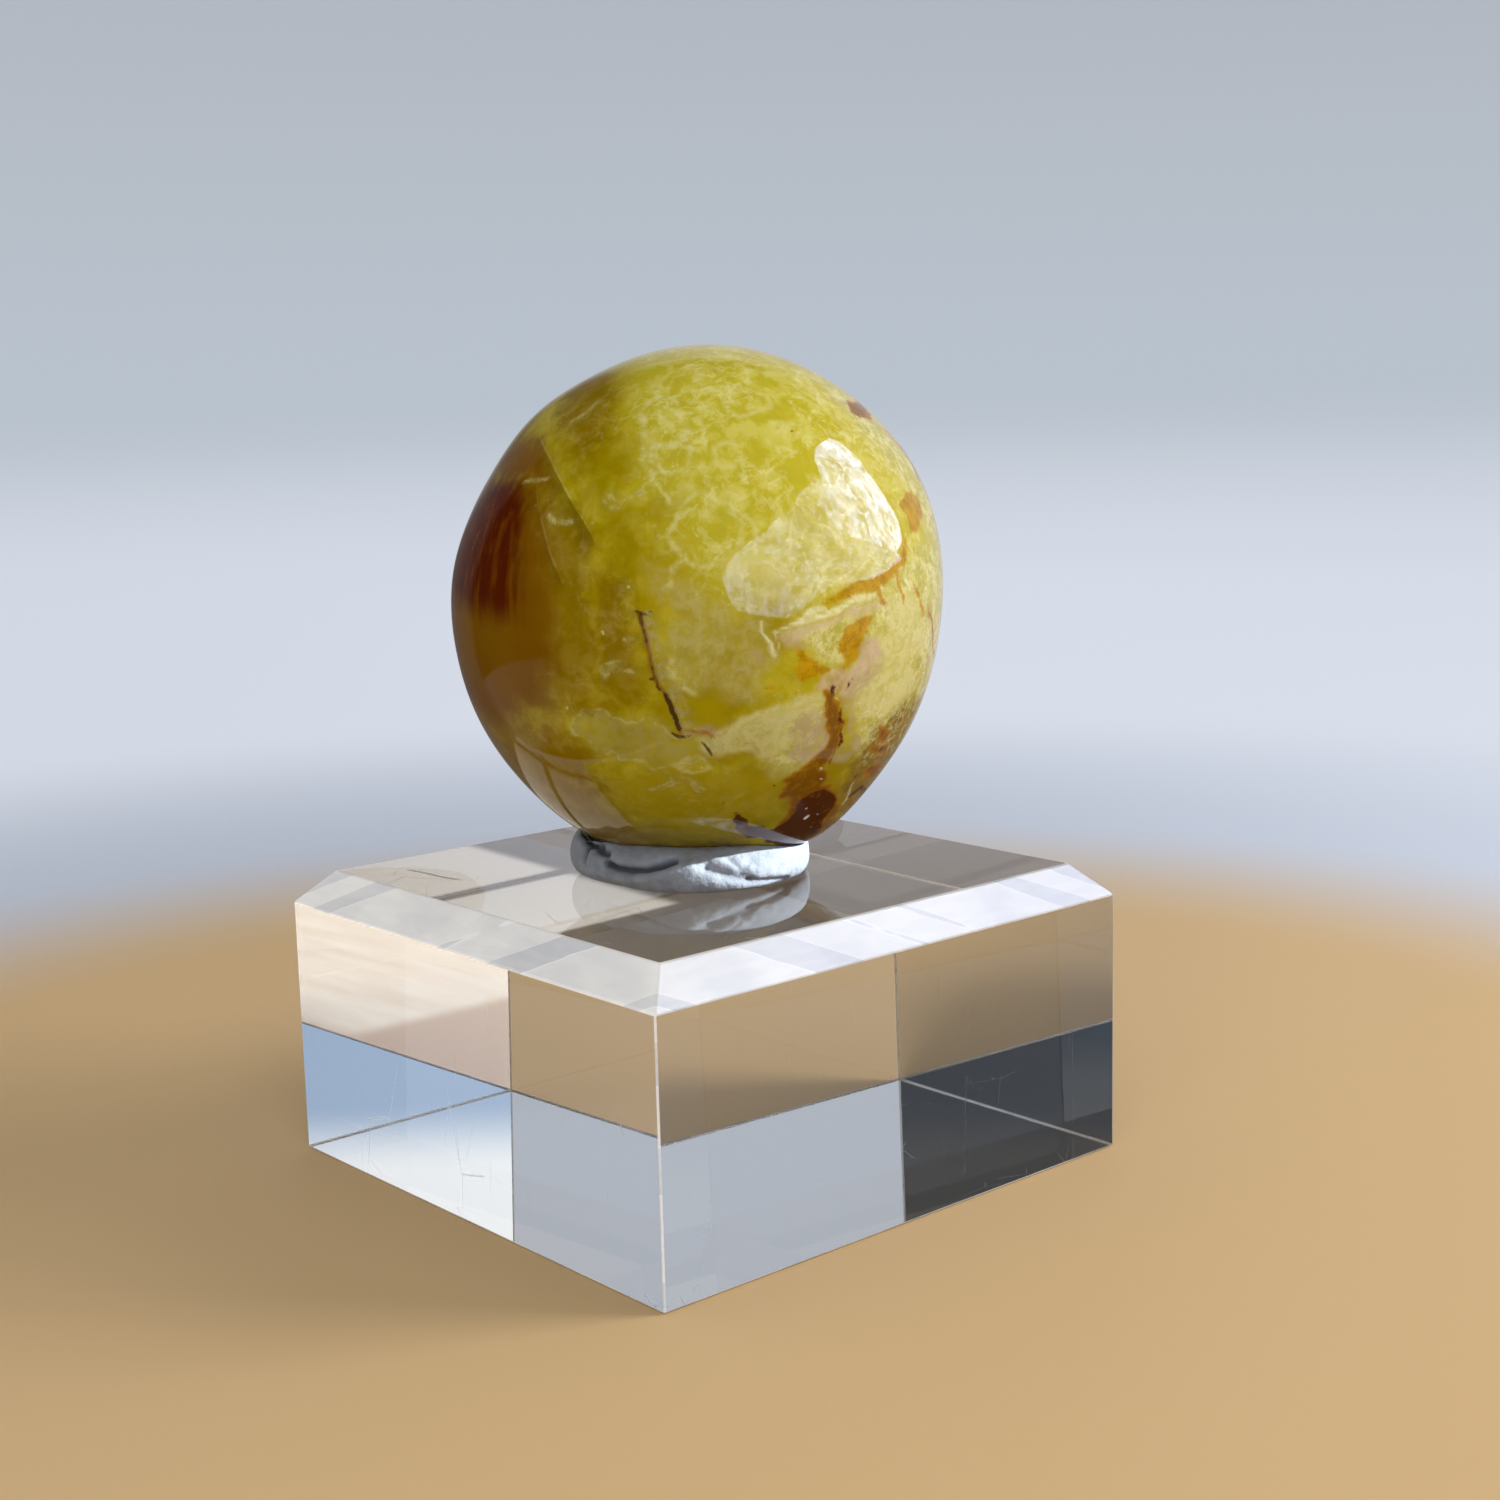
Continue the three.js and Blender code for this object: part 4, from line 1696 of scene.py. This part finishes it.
def level_line(noise, level, breadth):
    """A soft line wherever a noise crosses a level."""
    return opal.fade(opal.size(noise - level), breadth, 0.0)


def tinted(under, kind, soft, ragged, noise, share=1.0):
    """A colour with a kind of mark laid over it."""
    return opal.mix(marked(kind, soft, ragged, noise) * share, under, TINTS[kind])


body = opal.mix(opal.fade(broad, 0.36, 0.64), BODY_DARK, BODY_LIGHT)
for kind, (soft, ragged) in ZONE_EDGES.items():
    body = tinted(body, kind, soft, ragged, middling)
body = tinted(body, "shade", 1.0, 0.8, small, share=0.8)
body = opal.mix(1.0, body, 0.78 + 0.44 * middling, way="MULTIPLY")

# curds and cell rims, thickest in the crown and at the right
pale_zone = opal.bigger(marked("crown", 3.0, 1.4, middling), marked("cream", 2.0, 1.0, middling))
curdled = 0.12 + 0.88 * pale_zone
small_curds = opal.fade(small, 0.50, 0.57) * opal.fade(broad, 0.40, 0.54)
curds = opal.fade(middling, 0.46, 0.60) * 0.3 + small_curds * 0.32
whitened = marked("cream", 1.5, 1.0, middling) * opal.fade(fine, 0.42, 0.58)
body = opal.mix(curds * curdled, body, opal.mix(whitened, CURD, CURD_WHITE))
for cell, breadth, strength in RIM_CELLS:
    cells = opal.cell_edge(drift, cell)
    rims = opal.fade(cells, breadth, 0.01) * opal.fade(small, 0.40, 0.58) * opal.fade(broad, 0.38, 0.56)
    body = opal.mix(rims * curdled * strength, body, CURD)
lace_zone = marked("cream", 0.8, 0.8, middling) * opal.fade(middling, 0.42, 0.56)
lace_lines = level_line(small, 0.5, 0.035) * lace_zone
body = opal.mix(lace_lines * 0.65, body, CURD_WHITE)
hollows = opal.fade(fine, 0.56, 0.44) * opal.fade(small, 0.58, 0.48)
hollows = marked("cream", 1.0, 0.8, middling) * hollows
body = opal.mix(hollows * 0.5, body, HOLLOW)
pin_cells = opal.node("ShaderNodeTexVoronoi", {}, {"Vector": drift, "Scale": 1 / PIN_CELL})
pins = opal.fade(pin_cells, 0.13, 0.06) * opal.fade(broad, 0.5, 0.58) * 0.6
body = opal.mix(pins, body, TINTS["web"])
speckles = marked("shade", 1.2, 0.6, small) * opal.fade(fine, 0.46, 0.54)
body = opal.mix(speckles * 0.85, body, SPECKLE)

# the healed cracks shade the stone on their left
for name, reach, depth in HEALED_CRACKS:
    across, along = opal.stored(name + "_across"), opal.stored(name + "_along")
    ends = opal.fade(along, 0.0, 0.05) * opal.fade(along, 1.0, 0.75)
    shade = opal.fade(across, -reach, -0.05) * opal.fade(across, 0.05, -0.02) * ends
    body = opal.mix(shade * depth, body, CRACK_SHADE, way="MULTIPLY")
    film = opal.fade(opal.size(across - 0.12), 0.16, 0.0) * ends * opal.fade(middling, 0.40, 0.60)
    body = opal.mix(film * 0.2, body, TINTS["web"])

body = tinted(body, "brown_flank", 1.8, 0.5, streaks, share=0.94)
amber_colour = opal.mix(opal.fade(streaks, 0.44, 0.70), TINTS["amber"], AMBER_BRIGHT)
body = opal.mix(marked("amber", 1.5, 0.5, streaks), body, amber_colour)

milky = 0.22 + 0.5 * opal.fade(small, 0.38, 0.6)
body = tinted(body, "milk", 0.5, 0.45, middling, share=milky)
milk_rim = level_line(opal.stored("milk") + 1.8 * (middling - 0.5), -0.1, 0.22)
body = opal.mix(milk_rim * opal.fade(small, 0.36, 0.6) * 0.3, body, CURD)
body = tinted(body, "film", 0.7, 0.5, middling, share=0.25 + 0.5 * opal.fade(small, 0.4, 0.62))
body = tinted(body, "band", 0.35, 0.35, small, share=0.35 + 0.5 * opal.fade(small, 0.36, 0.62))
body = tinted(body, "pink", 0.4, 0.35, fine, share=0.2 + 0.65 * opal.fade(fine, 0.36, 0.6))
body = tinted(body, "web", 0.26, 0.09, fine, share=0.20 + 0.5 * opal.fade(small, 0.38, 0.60))
body = tinted(body, "rose", 0.3, 0.2, small, share=0.35 + 0.4 * opal.fade(small, 0.40, 0.60))
body = tinted(body, "lace", 0.16, 0.08, fine, share=0.45 + 0.45 * opal.fade(fine, 0.36, 0.56))

# orange, rust and brown stain the stone a little way past their edges
halo = marked("orange", 0.5, 0.3, small) * 0.3
body = opal.mix(halo, body, TINTS["orange"])
halo = opal.bigger(marked("rust", 0.5, 0.3, small), marked("brown", 0.3, 0.2, small)) * 0.3
body = opal.mix(halo, body, RUST_BRIGHT)
orange_colour = opal.mix(opal.fade(small, 0.36, 0.6), ORANGE_DARK, TINTS["orange"])
body = opal.mix(marked("orange", 0.16, 0.16, fine) * 0.9, body, orange_colour)
core = opal.fade(opal.stored("rust") + 1.2 * (small - 0.5), 0.0, -0.5)
rust_colour = opal.mix(core, RUST_BRIGHT, TINTS["rust"])
rust_colour = opal.mix(opal.fade(small, 0.50, 0.62) * 0.5, rust_colour, ORANGE_DARK)
body = opal.mix(marked("rust", 0.16, 0.16, fine) * 0.94, body, rust_colour)
brown_colour = opal.mix(opal.fade(small, 0.56, 0.70), TINTS["brown"], TINTS["rust"])
body = opal.mix(marked("brown", 0.12, 0.16, fine) * 0.95, body, brown_colour)

# the open crack: a stain, a pale veil at its right, and the dark gap, wide at its foot
across, along = opal.stored("open_across"), opal.stored("open_along")
ends = opal.fade(along, 0.0, 0.01) * opal.fade(along, 1.0, 0.99)
veil = opal.fade(across, 1.6, 0.5) * opal.fade(across, 0.0, 0.2) * ends * opal.fade(fine, 0.35, 0.6)
body = opal.mix(veil * 0.55, body, VEIL)
stain = opal.fade(opal.size(across - 0.05), 0.4, 0.05) * ends * opal.fade(fine, 0.36, 0.56)
body = opal.mix(stain * 0.8, body, STAIN)
half = GAP_FLOOR
for part in CRACK_WIDTHS:
    here_open = between(opal, along, part["from"], part["to"], 0.03)
    half = opal.bigger(here_open * (part["half"] - GAP_FLOOR) + GAP_FLOOR, half)
gap = opal.fade(opal.size(across) - half + 0.7 * (fine - 0.5), 0.07, -0.05) * ends
gap_colour = opal.mix(opal.fade(along, 0.5, 0.75), CRACK_BROWN, TINTS["crack"])
body = opal.mix(gap * 0.9, body, gap_colour)
grains = marked("crack", 0.08, 0.08, fine)
body = opal.mix(grains * 0.85, body, TINTS["crack"])
gap = opal.bigger(gap, grains)
# painted glint: the pits are coloured near white for light caught in them; their dullness and dents below
# are real
body = tinted(body, "pit_and_glint", 0.05, 0.02, fine, share=0.9)
opal.feed("Base Color", body)

pits = marked("pit_and_glint", 0.1, 0.02, fine)
opal.feed("Roughness", 0.04 + 0.05 * opal.fade(fine, 0.45, 0.75) + 0.25 * pits + 0.15 * gap)
opal.feed("Normal", opal.dents(1 - opal.bigger(gap * 0.4, pits), 0.08))
stone.data.materials.append(opal.material)

# %% [markdown]
# ## Last step
#
# The copy that the putty was pressed by is removed.

# %% Remove the copy
bpy.data.objects.remove(stone_form)
